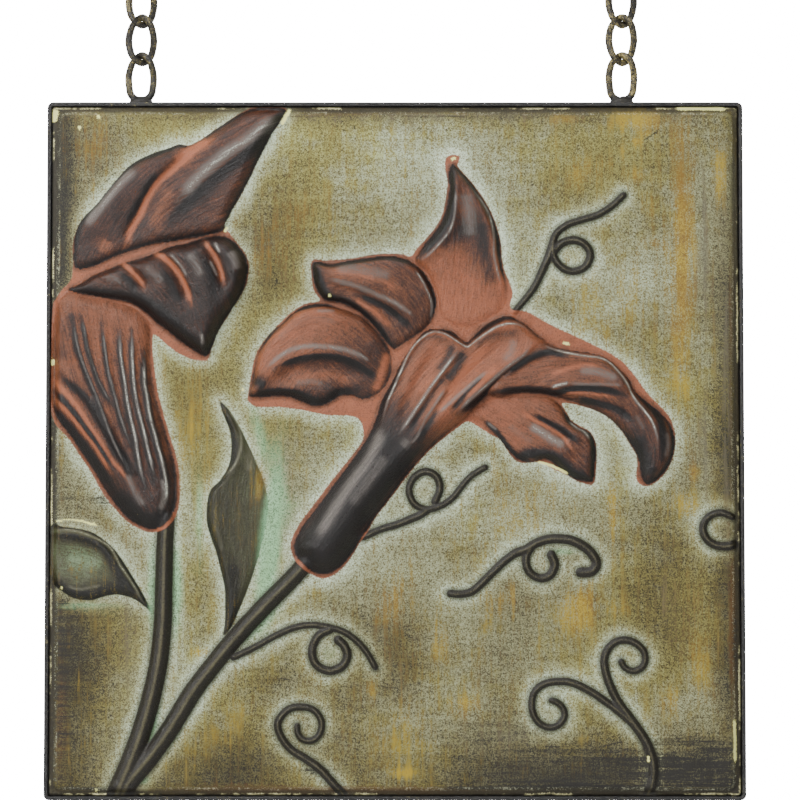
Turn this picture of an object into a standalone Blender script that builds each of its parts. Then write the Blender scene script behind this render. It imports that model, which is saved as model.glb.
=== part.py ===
"""Square pressed-metal wall panel of two lilies, framed in flat bar and hung on two short chains.

Metres, +Z up. The front faces -Y. The origin is on the panel's middle line, level with the
two points where hooks bear inside the hanging rings, so the whole panel hangs below it.
"""

from math import cos, pi, radians, sin

import bmesh
import bpy
import numpy as np

# Overall sizes
PANEL_SIDE = 0.305
TOUCHING_GAP = 0.0003

# Frame: one flat bar bent into a square, seen on edge from the front
FRAME_DEPTH = 0.016
FRAME_THICKNESS = 0.0018
FRAME_CORNER_RADIUS = 0.0026
FRAME_CORNER_STEPS = 3

# Pressed sheet: a shallow pan whose folded edge lies inside the frame
SHEET_THICKNESS = 0.0006
SHEET_SETBACK = 0.001
SKIRT_DEPTH = 0.008
FIELD_RISE = 0.002
FIELD_MARGIN = 0.0016
FIELD_CORNER_RADIUS = 0.0048
FIELD_ROLL = 0.0030
RELIEF_HEIGHT = 0.008
RELIEF_CELLS = 250
SHEET_FACES = 3900

# How the relief is drawn, in percent of the panel's side where it is a length
OUTLINE_STEPS = 4
PATH_STEPS = 5
LOWEST_RELIEF = 0.02
FOLD_SPAN = 3
FOLD_END_SHARE = 1 / 6
FOLD_END_HEIGHT = 0.25
BEAD_ROUNDNESS = 0.8
OUTLINE_SLACK = 0.2

# Chain: twisted links, a welded link below and a plain ring above
CHAIN_PLACES = {"left": -0.112, "right": 0.100}
LINK_WIRE = 0.0030
LINK_LENGTH = 0.0231
LINK_WIDTH = 0.0132
LINK_TWIST = radians(45)
LINKS_PER_CHAIN = 2
LINK_BEND_STEPS = 6
RING_WIRE = 0.0030
RING_INNER_DIAMETER = 0.0142
RING_STEPS = 20
WELD_HEIGHT = 0.0036
WELD_FOOT = (0.0108, 0.0076)
WELD_TOP_SHARE = 0.72
WELD_SIDES = 14

# Edges that bend more than this stay sharp
SHARP_ANGLE = radians(35)

# Derived heights, from the hook down
HALF_PANEL = PANEL_SIDE / 2
SHEET_HALF = HALF_PANEL - FRAME_THICKNESS - TOUCHING_GAP
SHEET_FRONT_Y = -FRAME_DEPTH / 2 + SHEET_SETBACK
RING_RADIUS = (RING_INNER_DIAMETER + RING_WIRE) / 2
RING_Z = -RING_INNER_DIAMETER / 2
LINK_PITCH = LINK_LENGTH - 2 * LINK_WIRE - TOUCHING_GAP
TOP_LINK_Z = -RING_INNER_DIAMETER + TOUCHING_GAP + LINK_WIRE - LINK_LENGTH / 2
LUG_Z = TOP_LINK_Z - LINKS_PER_CHAIN * LINK_PITCH
FRAME_TOP_Z = LUG_Z - LINK_LENGTH / 2 - TOUCHING_GAP
PANEL_Z = FRAME_TOP_Z - HALF_PANEL

# The relief is drawn in percent of the panel's side: u from its left edge, v from its foot.
# Each figure has an outline, and at two places its height, as a share of RELIEF_HEIGHT, and
# the width of its shoulder. A fold is a path, a height, and its reach left and right of the path.
FIGURES = {
    "bud_back_petal": {
        "outline": [(4.3, 76.0), (4.0, 78.6), (4.4, 81.4), (5.8, 84.4), (8.2, 87.7), (10.6, 90.0),
                    (13.0, 91.8), (16.4, 93.1), (19.2, 93.7), (22.0, 94.7), (25.2, 96.6),
                    (28.4, 98.7), (31.4, 99.5), (34.3, 99.2), (33.5, 97.2), (32.2, 94.9),
                    (30.8, 92.2), (29.3, 89.0), (27.8, 86.0), (26.3, 83.4), (25.3, 81.0),
                    (20.0, 79.8), (15.0, 79.2), (10.5, 77.8), (7.0, 76.4)],
        "rise": [(16, 90, 0.46, 1.5), (12, 78, 0.20, 1.2)],
        "folds": [([(20.5, 92.8), (17.4, 90.2), (15.2, 87.2), (13.3, 84.2), (12.0, 81.2),
                    (11.0, 78.2)], -0.26, 2.4, 1.0),
                  ([(15.5, 83.2), (19.0, 87.4), (22.6, 90.4), (26.2, 93.2), (30.0, 96.2),
                    (33.4, 98.6)], 0.18, 2.4, 1.8),
                  ([(6.0, 82.0), (8.4, 85.6), (11.2, 88.4), (14.6, 90.6)], 0.12, 1.6, 1.6)],
    },
    "bud_bell": {
        "outline": [(3.4, 72.4), (1.8, 70.8), (1.0, 67.5), (0.8, 62.5), (0.8, 57.0), (1.6, 54.6),
                    (4.0, 51.8), (6.4, 48.4), (8.6, 44.8), (10.4, 41.8), (12.6, 39.6), (15.2, 38.5),
                    (17.4, 39.0), (18.6, 41.0), (19.0, 44.0), (18.8, 47.5), (18.0, 51.4),
                    (16.9, 55.4), (15.9, 59.4), (15.4, 63.4), (15.2, 67.2), (13.0, 69.8),
                    (9.0, 71.4), (6.0, 72.0)],
        "rise": [(8, 62, 0.38, 2.2), (15, 43, 0.60, 3.0)],
        "folds": [([(1.4, 63.0), (3.2, 60.6), (5.4, 58.2), (7.4, 55.8), (9.2, 52.8), (10.6, 49.8)],
                   0.15, 0.7, 0.6),
                  ([(1.6, 59.6), (4.6, 56.4), (7.4, 52.4), (9.4, 49.4), (11.0, 46.4), (12.6, 43.6)],
                   0.15, 0.6, 0.6),
                  ([(1.8, 57.2), (4.0, 54.4), (6.6, 50.8), (8.6, 47.6), (9.6, 45.8)], 0.12, 0.6, 0.6),
                  ([(4.0, 69.0), (4.4, 66.0), (5.2, 62.2), (6.6, 58.8), (8.4, 55.0), (10.4, 51.0),
                    (12.2, 47.6), (13.4, 44.8)], 0.15, 0.6, 0.6),
                  ([(5.4, 68.6), (6.0, 65.4), (7.2, 62.0), (8.8, 58.4), (10.2, 54.6)], 0.14, 0.5, 0.5),
                  ([(8.3, 68.0), (8.8, 63.6), (9.8, 59.0), (10.9, 54.6), (12.2, 50.6), (13.6, 46.6),
                    (14.5, 43.6)], 0.15, 0.5, 0.5),
                  ([(10.5, 67.4), (10.8, 62.6), (11.8, 57.0), (12.9, 52.4), (14.0, 47.6),
                    (14.9, 43.4)], 0.15, 0.5, 0.5),
                  ([(12.5, 67.0), (12.6, 61.0), (13.4, 55.8), (14.6, 51.0), (15.5, 46.6),
                    (15.9, 43.2)], 0.15, 0.5, 0.5),
                  ([(14.3, 65.4), (14.3, 59.4), (15.0, 54.6), (16.2, 50.4), (17.1, 46.4),
                    (17.5, 43.4), (16.9, 40.8)], 0.15, 0.5, 0.5)],
    },
    "bud_flap": {
        "outline": [(3.6, 73.0), (6.4, 74.4), (9.4, 75.7), (12.4, 76.9), (15.6, 78.0), (19.0, 79.2),
                    (22.4, 80.2), (25.0, 80.1), (27.4, 78.8), (28.8, 76.8), (28.9, 74.6),
                    (27.8, 71.8), (26.2, 69.0), (24.7, 66.4), (23.5, 64.0), (22.6, 63.8),
                    (20.8, 64.9), (18.6, 67.0), (16.2, 69.2), (13.2, 70.8), (9.6, 71.7), (6.2, 72.2)],
        "rise": [(8, 73.5, 0.46, 1.2), (22, 72, 0.82, 1.8)],
        "folds": [([(11.2, 77.4), (12.6, 75.7), (13.7, 73.9), (14.3, 72.5)], -0.30, 0.7, 0.7),
                  ([(16.8, 79.0), (18.6, 77.0), (19.8, 74.2), (20.7, 71.2)], -0.36, 0.8, 0.8),
                  ([(22.8, 80.8), (24.2, 78.4), (25.2, 75.8), (25.6, 73.2)], -0.36, 0.7, 0.7)],
    },
    "low_left_petal": {
        "outline": [(29.2, 57.7), (29.8, 60.8), (31.0, 64.0), (33.2, 67.0), (35.8, 69.4), (38.6, 70.6),
                    (41.6, 70.5), (44.6, 69.2), (47.2, 67.0), (49.2, 64.2), (49.8, 61.0),
                    (49.0, 58.6), (47.0, 57.6), (44.6, 57.6), (42.6, 57.5), (40.8, 56.9),
                    (38.8, 56.4), (36.6, 56.9), (34.6, 57.7), (31.6, 57.9)],
        "rise": [(40, 66, 0.44, 1.3), (48.6, 60, 0.12, 1.3)],
        "folds": [([(30.2, 58.8), (32.6, 61.2), (35.8, 63.0), (39.6, 63.6), (43.4, 63.1),
                    (46.2, 61.6), (47.8, 60.0)], 0.20, 2.6, 0.9),
                  ([(33.0, 59.9), (37.0, 61.4), (41.0, 61.6), (44.6, 60.6), (46.8, 59.4)],
                   -0.18, 0.9, 1.6)],
    },
    "upper_left_petal": {
        "outline": [(38.4, 77.0), (41.4, 76.7), (45.0, 77.2), (48.6, 77.5), (51.6, 76.9), (53.9, 75.3),
                    (55.2, 73.0), (55.6, 70.6), (55.0, 68.4), (53.4, 66.8), (51.4, 65.2),
                    (49.9, 64.4), (48.4, 66.2), (46.6, 68.4), (44.6, 70.0), (42.2, 71.0),
                    (40.2, 71.7), (39.0, 73.2), (38.5, 75.0)],
        "rise": [(47, 74, 0.54, 1.1), (51.5, 66, 0.22, 1.1)],
        "folds": [([(39.2, 76.2), (42.0, 74.8), (45.6, 73.4), (49.0, 71.8), (51.2, 70.0),
                    (52.4, 68.2)], 0.18, 2.2, 0.9),
                  ([(41.0, 73.6), (45.0, 71.7), (48.4, 69.6), (50.6, 67.4)], -0.18, 0.9, 1.2)],
    },
    "top_petal": {
        "outline": [(58.0, 91.0), (60.2, 89.2), (62.3, 86.4), (63.8, 83.4), (64.6, 80.2), (64.9, 77.0),
                    (65.6, 74.2), (66.0, 71.6), (65.0, 69.6), (62.0, 67.8), (59.0, 67.4),
                    (56.6, 69.0), (56.0, 72.6), (54.6, 75.6), (53.4, 77.2), (55.4, 79.8),
                    (57.0, 82.8), (57.8, 85.8), (57.8, 88.6)],
        "rise": [(60, 84, 0.46, 1.1), (60, 71, 0.08, 1.1)],
        "folds": [([(58.4, 90.2), (58.7, 87.0), (58.3, 83.8), (57.0, 80.8), (54.8, 77.8)],
                   0.10, 0.9, 0.8),
                  ([(60.2, 88.4), (62.6, 84.6), (63.8, 80.6), (64.2, 77.0), (65.0, 74.2),
                    (65.6, 72.4)], 0.15, 0.7, 0.9),
                  ([(60.0, 83.0), (60.5, 78.5), (60.5, 74.0)], -0.10, 1.8, 1.8)],
    },
    "lower_petal": {
        "outline": [(60.6, 55.0), (62.6, 53.2), (64.6, 51.6), (66.2, 49.6), (68.2, 48.4), (70.4, 48.6),
                    (72.8, 47.8), (75.2, 46.4), (77.0, 45.6), (78.4, 45.6), (78.5, 48.0),
                    (78.5, 50.4), (77.4, 52.2), (75.6, 53.2), (74.6, 54.6), (73.6, 56.2),
                    (72.0, 57.4), (68.0, 57.6), (64.0, 56.8)],
        "rise": [(74, 49, 0.42, 1.0), (65, 56, 0.14, 1.0)],
        "folds": [([(66.8, 53.2), (70.0, 52.8), (72.8, 51.6), (75.0, 49.8), (76.4, 47.8)],
                   0.14, 1.2, 1.6),
                  ([(74.2, 55.4), (75.6, 53.8), (77.2, 52.8), (78.0, 51.2)], 0.10, 0.7, 0.7),
                  ([(68.6, 55.8), (72.0, 54.6), (75.0, 52.4), (76.8, 50.6)], -0.16, 0.9, 0.9)],
    },
    "drooping_petal": {
        "outline": [(70.0, 64.8), (72.6, 64.6), (75.6, 64.0), (78.6, 63.7), (80.8, 62.6), (82.8, 60.4),
                    (84.6, 57.8), (87.0, 55.4), (89.0, 53.4), (89.9, 51.0), (89.4, 48.2),
                    (87.6, 45.9), (85.8, 45.0), (85.2, 46.4), (85.0, 48.8), (83.8, 51.8),
                    (82.0, 54.2), (79.6, 56.2), (76.4, 57.4), (72.6, 57.9), (68.8, 58.0),
                    (65.0, 57.4), (63.0, 58.6), (66.0, 62.0)],
        "rise": [(73, 61, 0.56, 1.2), (87, 48, 0.40, 1.3)],
        "folds": [([(71.0, 64.8), (74.4, 63.9), (78.4, 63.2), (81.0, 61.6), (82.8, 59.4),
                    (84.2, 56.8), (86.2, 54.6), (87.2, 52.2), (87.6, 49.6)], 0.13, 0.8, 0.8),
                  ([(71.8, 58.4), (74.0, 59.2), (77.0, 59.3), (80.4, 59.0), (83.0, 59.0)],
                   0.14, 1.6, 0.6),
                  ([(74.4, 57.9), (78.4, 57.9), (82.0, 57.0), (84.2, 54.4)], -0.16, 0.8, 1.6),
                  ([(67.0, 60.0), (70.4, 61.2), (74.0, 62.0), (77.6, 62.2)], -0.12, 1.2, 1.2)],
    },
    "trumpet": {
        "outline": [(35.7, 36.6), (36.6, 39.0), (38.8, 42.4), (41.6, 46.4), (44.6, 50.4), (46.8, 53.6),
                    (47.8, 56.0), (48.8, 58.8), (50.4, 61.8), (51.8, 64.4), (53.4, 66.2),
                    (55.6, 67.3), (58.0, 66.8), (59.8, 65.5), (60.6, 65.3), (62.4, 66.7),
                    (64.8, 68.4), (67.2, 68.7), (69.4, 67.4), (71.2, 65.6), (70.8, 64.0),
                    (68.2, 62.0), (65.0, 59.8), (62.4, 57.6), (60.6, 55.6), (58.0, 53.4),
                    (55.0, 50.8), (52.0, 47.6), (49.0, 43.8), (46.2, 39.6), (44.0, 36.0),
                    (42.0, 33.4), (40.0, 32.4), (37.8, 32.8), (36.2, 34.4)],
        "rise": [(44, 44, 0.98, 3.7), (59, 61, 0.64, 1.6)],
        "folds": [([(48.0, 53.4), (49.0, 57.0), (50.4, 60.4), (51.8, 63.4), (53.4, 65.5),
                    (55.4, 66.7), (57.6, 66.4), (59.4, 65.2), (60.4, 64.6), (62.2, 65.9),
                    (64.6, 67.5), (66.8, 67.9), (68.6, 67.1), (70.2, 65.5)], 0.13, 0.6, 0.7),
                  ([(59.0, 64.4), (57.6, 62.2), (55.6, 59.2), (53.4, 55.8), (51.4, 52.8)],
                   0.14, 0.6, 0.6),
                  ([(57.6, 59.6), (56.0, 57.2), (54.4, 54.8), (52.6, 52.2)], 0.11, 0.5, 0.5),
                  ([(63.8, 62.4), (61.4, 60.4), (59.0, 57.6), (57.0, 55.2), (55.0, 53.2)],
                   0.12, 0.7, 0.7),
                  ([(69.4, 65.4), (67.6, 62.9), (65.0, 60.7), (62.4, 58.4), (60.2, 56.2)],
                   0.16, 0.7, 1.2),
                  ([(55.2, 64.6), (53.6, 61.8), (52.0, 58.6), (50.6, 55.2)], -0.12, 1.0, 1.0),
                  ([(65.8, 65.6), (63.0, 63.8), (60.4, 61.0)], -0.12, 1.0, 1.0)],
    },
    "edge_leaf": {
        "outline": [(0.6, 38.9), (3.4, 38.9), (6.4, 38.2), (8.8, 36.6), (10.6, 34.4), (12.2, 31.6),
                    (13.8, 28.9), (15.6, 26.4), (13.4, 28.0), (11.4, 29.2), (9.4, 29.3),
                    (7.6, 28.6), (5.6, 28.3), (3.6, 28.9), (1.8, 30.4), (0.7, 32.4)],
        "rise": [(4, 34, 0.34, 1.0), (14, 28.5, 0.26, 0.8)],
        "folds": [([(2.2, 34.4), (4.6, 34.3), (6.9, 33.7)], -0.30, 2.4, 2.4),
                  ([(1.0, 38.2), (5.0, 37.8), (8.2, 35.9), (10.8, 32.4), (14.6, 27.4)],
                   0.10, 0.5, 0.5)],
    },
    "tall_leaf": {
        "outline": [(24.9, 57.0), (25.3, 55.0), (26.3, 52.6), (26.8, 50.2), (26.4, 47.8), (25.3, 45.7),
                    (23.8, 43.8), (23.3, 41.2), (23.6, 38.2), (24.6, 34.6), (25.6, 30.6),
                    (25.9, 27.0), (25.6, 24.4), (26.6, 24.6), (28.4, 27.8), (30.2, 32.0),
                    (31.5, 36.6), (32.2, 41.6), (31.9, 46.2), (30.6, 50.2), (28.8, 53.4),
                    (26.8, 55.9)],
        "rise": [(25, 40, 0.36, 1.4), (32, 40, 0.06, 1.4)],
        "folds": [([(25.6, 56.2), (27.4, 53.4), (28.3, 50.6), (27.7, 47.8), (25.6, 45.0)],
                   0.10, 1.4, 0.8)],
    },
}

# Round beads: path, height share, then half width at its start and at its end
BEADS = {
    "bud_stem": ([(17.2, 39.6), (17.1, 34.0), (17.1, 29.0), (16.8, 24.0), (16.3, 20.0), (15.4, 15.0),
                  (14.1, 10.0), (12.2, 5.4), (10.6, 0.8)], 0.42, 1.15, 1.45),
    "trumpet_stem": ([(37.6, 35.2), (33.9, 30.2), (30.4, 26.2), (26.6, 22.0), (22.1, 16.4),
                      (17.6, 10.2), (14.2, 5.4), (11.2, 0.8)], 0.42, 1.25, 1.35),
    "top_tendril_foot": ([(67.2, 69.9), (68.7, 71.7), (70.2, 73.8), (71.2, 76.2), (72.3, 78.4)],
                         0.22, 0.50, 0.66),
    "top_tendril": ([(82.8, 86.7), (81.2, 85.3), (79.4, 84.1), (77.0, 83.5), (75.0, 82.8),
                     (73.4, 81.6), (72.6, 80.0), (72.8, 77.6), (73.8, 76.1), (75.6, 75.5),
                     (77.3, 76.3), (77.9, 78.0), (77.0, 79.6), (75.2, 80.0), (73.5, 79.0)],
                    0.23, 0.62, 0.60),
    "middle_tendril_foot": ([(45.6, 37.8), (48.6, 38.8), (51.4, 39.7), (53.6, 40.4), (54.6, 41.4)],
                            0.20, 0.50, 0.60),
    "middle_tendril": ([(62.8, 47.4), (61.2, 46.4), (59.9, 44.8), (58.6, 43.2), (57.0, 42.0),
                        (55.0, 41.7), (53.0, 42.3), (52.0, 44.1), (52.5, 45.9), (54.2, 46.8),
                        (55.9, 46.1), (56.4, 44.4), (55.6, 42.8)], 0.22, 0.52, 0.56),
    "floating_tendril": ([(57.9, 29.5), (59.6, 29.4), (61.6, 29.9), (63.4, 31.4), (65.2, 33.3),
                          (66.9, 34.8), (68.9, 35.7), (70.4, 36.7), (72.4, 37.2), (74.6, 37.1),
                          (76.4, 36.5), (77.9, 35.1), (78.5, 33.6), (77.8, 32.6), (76.4, 32.5)],
                         0.23, 0.60, 0.72),
    "floating_curl": ([(70.0, 36.3), (68.8, 34.8), (68.8, 32.9), (70.1, 31.6), (71.9, 31.9),
                       (72.8, 33.4), (72.3, 34.9)], 0.22, 0.60, 0.66),
    "low_tendril": ([(27.2, 20.4), (30.0, 21.8), (33.0, 23.5), (35.6, 24.7), (38.0, 24.9),
                     (40.2, 24.4), (42.2, 24.2), (44.0, 23.3), (45.6, 21.6), (47.2, 19.1)],
                    0.21, 0.52, 0.50),
    "low_curl": ([(41.2, 24.0), (39.4, 23.4), (38.4, 21.6), (38.8, 19.6), (40.6, 18.5), (42.5, 19.1),
                  (43.2, 20.9), (42.5, 22.8)], 0.23, 0.58, 0.66),
    "foot_spiral": ([(43.0, 0.8), (41.4, 3.2), (39.4, 5.1), (37.0, 6.6), (34.9, 8.4), (33.9, 10.6),
                     (34.8, 12.4), (36.8, 13.1), (38.8, 12.3), (39.5, 10.7), (38.9, 9.2),
                     (37.5, 8.8), (36.3, 9.6), (35.8, 10.9)], 0.24, 0.66, 0.42),
    "corner_spiral": ([(85.4, 0.7), (86.1, 2.2), (86.7, 4.4), (86.6, 6.2), (85.8, 8.3), (84.5, 10.8),
                       (83.0, 13.1), (81.4, 15.5), (80.1, 17.7), (79.7, 20.0), (80.5, 22.0),
                       (82.2, 22.9), (84.2, 22.5), (85.6, 20.9), (85.2, 19.1), (83.8, 18.3),
                       (82.4, 19.0), (81.9, 19.9)], 0.24, 0.76, 0.44),
    "corner_branch": ([(85.0, 9.4), (83.0, 11.9), (80.4, 14.0), (77.8, 15.7), (75.2, 16.8),
                       (72.6, 17.0), (70.4, 16.0), (69.4, 14.1), (69.6, 12.1), (70.9, 10.6),
                       (72.5, 10.3), (73.9, 11.2), (74.2, 12.7), (73.4, 13.8), (72.2, 14.4)],
                      0.23, 0.62, 0.44),
    "edge_curl": ([(98.6, 36.4), (97.0, 35.9), (95.1, 36.7), (94.1, 38.5), (94.7, 40.3),
                   (96.4, 41.0), (98.0, 40.4)], 0.24, 0.60, 0.50),
}

COLOURS = {
    "sheet": ((0.36, 0.36, 0.27), 0.45, 0.3),
    "frame": ((0.035, 0.032, 0.028), 0.50, 0.6),
    "chain": ((0.20, 0.17, 0.09), 0.50, 0.6),
}


def material(name):
    """Paint over metal: base colour, roughness and metallic value"""
    colour, roughness, metallic = COLOURS[name]
    made = bpy.data.materials.new(name)
    made.use_nodes = True
    shader = made.node_tree.nodes["Principled BSDF"]
    shader.inputs["Base Color"].default_value = (*colour, 1)
    shader.inputs["Roughness"].default_value = roughness
    shader.inputs["Metallic"].default_value = metallic
    return made


def add_object(name, mesh, paint, location=(0, 0, 0), turn=0.0):
    """Links one named sub-part, shaded smooth between its sharp edges"""
    mesh.materials.clear()
    mesh.materials.append(paint)
    mesh.shade_smooth()
    mesh.set_sharp_from_angle(angle=SHARP_ANGLE)
    made = bpy.data.objects.new(name, mesh)
    made.location = location
    made.rotation_euler = (0, 0, turn)
    PARTS.objects.link(made)
    return made


def smooth_path(points, closed=False, steps=PATH_STEPS):
    """Catmull-Rom curve through hand-placed points"""
    knots = np.asarray(points, float)
    if closed:
        knots = np.vstack([knots[-1], knots, knots[:2]])
    else:
        knots = np.vstack([2 * knots[0] - knots[1], knots, 2 * knots[-1] - knots[-2]])
    share = np.linspace(0, 1, steps, endpoint=False)[:, None]
    spans = [0.5 * (2 * b + (c - a) * share + (2 * a - 5 * b + 4 * c - d) * share ** 2
                    + (3 * b - a - 3 * c + d) * share ** 3)
             for a, b, c, d in zip(knots[:-3], knots[1:-2], knots[2:-1], knots[3:])]
    if not closed:
        spans.append(knots[-2][None])
    return np.vstack(spans)


def nearest(path, u, v, closed=False):
    """Distance to a path, the side of it (+1 left of its run), the share of it passed, and inside"""
    ends = np.roll(path, -1, axis=0) if closed else path[1:]
    starts = path if closed else path[:-1]
    lengths = np.hypot(*(ends - starts).T)
    passed = np.concatenate([[0], np.cumsum(lengths)[:-1]])
    best = np.full(u.shape, np.inf)
    side = np.ones(u.shape)
    along = np.zeros(u.shape)
    inside = np.zeros(u.shape, bool)
    for (ua, va), (ub, vb), length, before in zip(starts, ends, lengths, passed):
        du, dv = ub - ua, vb - va
        share = np.clip(((u - ua) * du + (v - va) * dv) / length ** 2, 0, 1)
        off_u, off_v = u - ua - share * du, v - va - share * dv
        distance = off_u ** 2 + off_v ** 2
        closer = distance < best
        best[closer] = distance[closer]
        side[closer] = np.sign(du * off_v - dv * off_u)[closer]
        along[closer] = (before + share * length)[closer]
        if closed and va != vb:
            crossed = ((va > v) != (vb > v)) & (u < du * (v - va) / dv + ua)
            inside ^= crossed
    return np.sqrt(best), side, along / lengths.sum(), inside


def near(u, v, path, reach):
    """The places that a path can touch, which keeps the sums short"""
    low, high = path.min(0) - reach, path.max(0) + reach
    return (u > low[0]) & (u < high[0]) & (v > low[1]) & (v < high[1])


def between(u, v, first, last):
    """How far each place lies from the first named place to the last, from 0 to 1"""
    run = np.subtract(last[:2], first[:2])
    return np.clip(((u - first[0]) * run[0] + (v - first[1]) * run[1]) / (run @ run), 0, 1)


def fold_height(u, v, fold):
    """A crest, or a valley where the height is negative, that dies out at its two ends"""
    points, height, left, right = fold
    path = smooth_path(points)
    found = near(u, v, path, FOLD_SPAN * max(left, right))
    raised = np.zeros(u.shape)
    distance, side, along, _ = nearest(path, u[found], v[found])
    reach = np.where(side > 0, left, right)
    fade = np.clip(np.minimum(along, 1 - along) / FOLD_END_SHARE, FOLD_END_HEIGHT, 1)
    raised[found] = height * fade * np.exp(-(distance / reach) ** 2)
    return raised


def figure_height(u, v, figure):
    """One petal or leaf: a round-shouldered form with its own folds"""
    path = smooth_path(figure["outline"], closed=True, steps=OUTLINE_STEPS)
    found = near(u, v, path, OUTLINE_SLACK)
    raised = np.zeros(u.shape)
    uu, vv = u[found], v[found]
    distance, _, _, inside = nearest(path, uu, vv, closed=True)
    first, last = figure["rise"]
    share = between(uu, vv, first, last)
    height = first[2] + share * (last[2] - first[2])
    shoulder = first[3] + share * (last[3] - first[3])
    for fold in figure["folds"]:
        height = height + fold_height(uu, vv, fold)
    rise = np.sin(pi / 2 * np.clip(distance / shoulder, 0, 1))
    raised[found] = np.where(inside, np.maximum(height, LOWEST_RELIEF) * rise, 0)
    return raised


def bead_height(u, v, bead):
    """A stem or tendril: a half-round bead pressed along a path"""
    points, height, start_width, end_width = bead
    path = smooth_path(points)
    found = near(u, v, path, max(start_width, end_width))
    raised = np.zeros(u.shape)
    distance, _, along, _ = nearest(path, u[found], v[found])
    width = start_width + along * (end_width - start_width)
    raised[found] = height * np.clip(1 - (distance / width) ** 2, 0, 1) ** BEAD_ROUNDNESS
    return raised


def field_rise(x, z):
    """The pillowed field: 0 on the rim, 1 inside, with round corners"""
    inner = SHEET_HALF - FIELD_MARGIN - FIELD_CORNER_RADIUS
    away = np.hypot(np.maximum(np.abs(x) - inner, 0), np.maximum(np.abs(z) - inner, 0))
    edge = FIELD_CORNER_RADIUS - away
    return np.sin(pi / 2 * np.clip(edge / FIELD_ROLL, 0, 1))


def relief(x, z):
    """Height of the pressed sheet in front of its rim, in metres"""
    u, v = (x / PANEL_SIDE + 0.5) * 100, (z / PANEL_SIDE + 0.5) * 100
    raised = np.zeros(u.shape)
    for figure in FIGURES.values():
        raised = np.maximum(raised, figure_height(u, v, figure))
    for bead in BEADS.values():
        raised = np.maximum(raised, bead_height(u, v, bead))
    return field_rise(x, z) * (FIELD_RISE + RELIEF_HEIGHT * raised)


def pressed_sheet(paint):
    """The embossed pan: a fine grid raised to the relief, thinned out, then given its wall"""
    mesh = bpy.data.meshes.new("embossed_sheet")
    bm = bmesh.new()
    bmesh.ops.create_grid(bm, x_segments=RELIEF_CELLS, y_segments=RELIEF_CELLS, size=SHEET_HALF)
    flat = np.array([vert.co[:2] for vert in bm.verts])
    for vert, height in zip(bm.verts, np.round(relief(flat[:, 0], flat[:, 1]), 6)):
        vert.co = (vert.co.x, -height, vert.co.y)
    bmesh.ops.triangulate(bm, faces=bm.faces)
    full_count = len(bm.faces)
    bm.to_mesh(mesh)
    bm.free()

    thinned = bpy.data.objects.new("relief_grid", mesh)
    PARTS.objects.link(thinned)
    decimate = thinned.modifiers.new("fewer_faces", "DECIMATE")
    decimate.ratio = SHEET_FACES / full_count
    evaluated = thinned.evaluated_get(bpy.context.evaluated_depsgraph_get())
    surface = bpy.data.meshes.new_from_object(evaluated)
    bpy.data.objects.remove(thinned)

    bm = bmesh.new()
    bm.from_mesh(surface)
    rim = [vert for vert in bm.verts if vert.is_boundary]
    for vert in rim:
        if abs(vert.co.x) > abs(vert.co.z):
            vert.co.x = SHEET_HALF if vert.co.x > 0 else -SHEET_HALF
        else:
            vert.co.z = SHEET_HALF if vert.co.z > 0 else -SHEET_HALF
        vert.co.y = 0
    for side_x in (-1, 1):
        for side_z in (-1, 1):
            corner = max(rim, key=lambda vert: side_x * vert.co.x + side_z * vert.co.z)
            corner.co.x, corner.co.z = side_x * SHEET_HALF, side_z * SHEET_HALF
    edges = [edge for edge in bm.edges if edge.is_boundary]
    skirt = bmesh.ops.extrude_edge_only(bm, edges=edges)["geom"]
    skirt_foot = {item for item in skirt if isinstance(item, bmesh.types.BMVert)}
    for vert in skirt_foot:
        vert.co.y = SKIRT_DEPTH
    foot_places = {tuple(vert.co) for vert in skirt_foot}
    inner_geometry = bmesh.ops.extrude_face_region(bm, geom=bm.faces[:], use_keep_orig=True)["geom"]
    inner = [item for item in inner_geometry if isinstance(item, bmesh.types.BMVert)]
    limit = SHEET_HALF - SHEET_THICKNESS
    for vert in inner:
        on_foot = tuple(vert.co) in foot_places
        vert.co.y += 0 if on_foot else SHEET_THICKNESS
        vert.co.x = max(-limit, min(limit, vert.co.x))
        vert.co.z = max(-limit, min(limit, vert.co.z))
    bmesh.ops.recalc_face_normals(bm, faces=bm.faces)
    bm.to_mesh(surface)
    bm.free()
    add_object("embossed_sheet", surface, paint, (0, SHEET_FRONT_Y, PANEL_Z))


def bar_frame(paint):
    """Flat bar on edge around the panel, bent round at its corners"""
    bm = bmesh.new()
    bmesh.ops.create_grid(bm, x_segments=1, y_segments=1, size=HALF_PANEL)
    for vert in bm.verts:
        vert.co = (vert.co.x, -FRAME_DEPTH / 2, vert.co.y)
    bmesh.ops.bevel(bm, geom=bm.verts[:], offset=FRAME_CORNER_RADIUS, segments=FRAME_CORNER_STEPS,
                    profile=0.5, affect="VERTICES", material=-1)
    bmesh.ops.delete(bm, geom=bm.faces[:], context="FACES_ONLY")
    wall = bmesh.ops.extrude_edge_only(bm, edges=bm.edges[:])["geom"]
    bmesh.ops.translate(bm, vec=(0, FRAME_DEPTH, 0),
                        verts=[item for item in wall if isinstance(item, bmesh.types.BMVert)])
    bmesh.ops.recalc_face_normals(bm, faces=bm.faces)
    mesh = bpy.data.meshes.new("bar_frame")
    bm.to_mesh(mesh)
    bm.free()
    frame = add_object("bar_frame", mesh, paint, (0, 0, PANEL_Z))
    wall = frame.modifiers.new("bar_thickness", "SOLIDIFY")
    wall.thickness = FRAME_THICKNESS
    wall.offset = -1
    wall.use_even_offset = True


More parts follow.
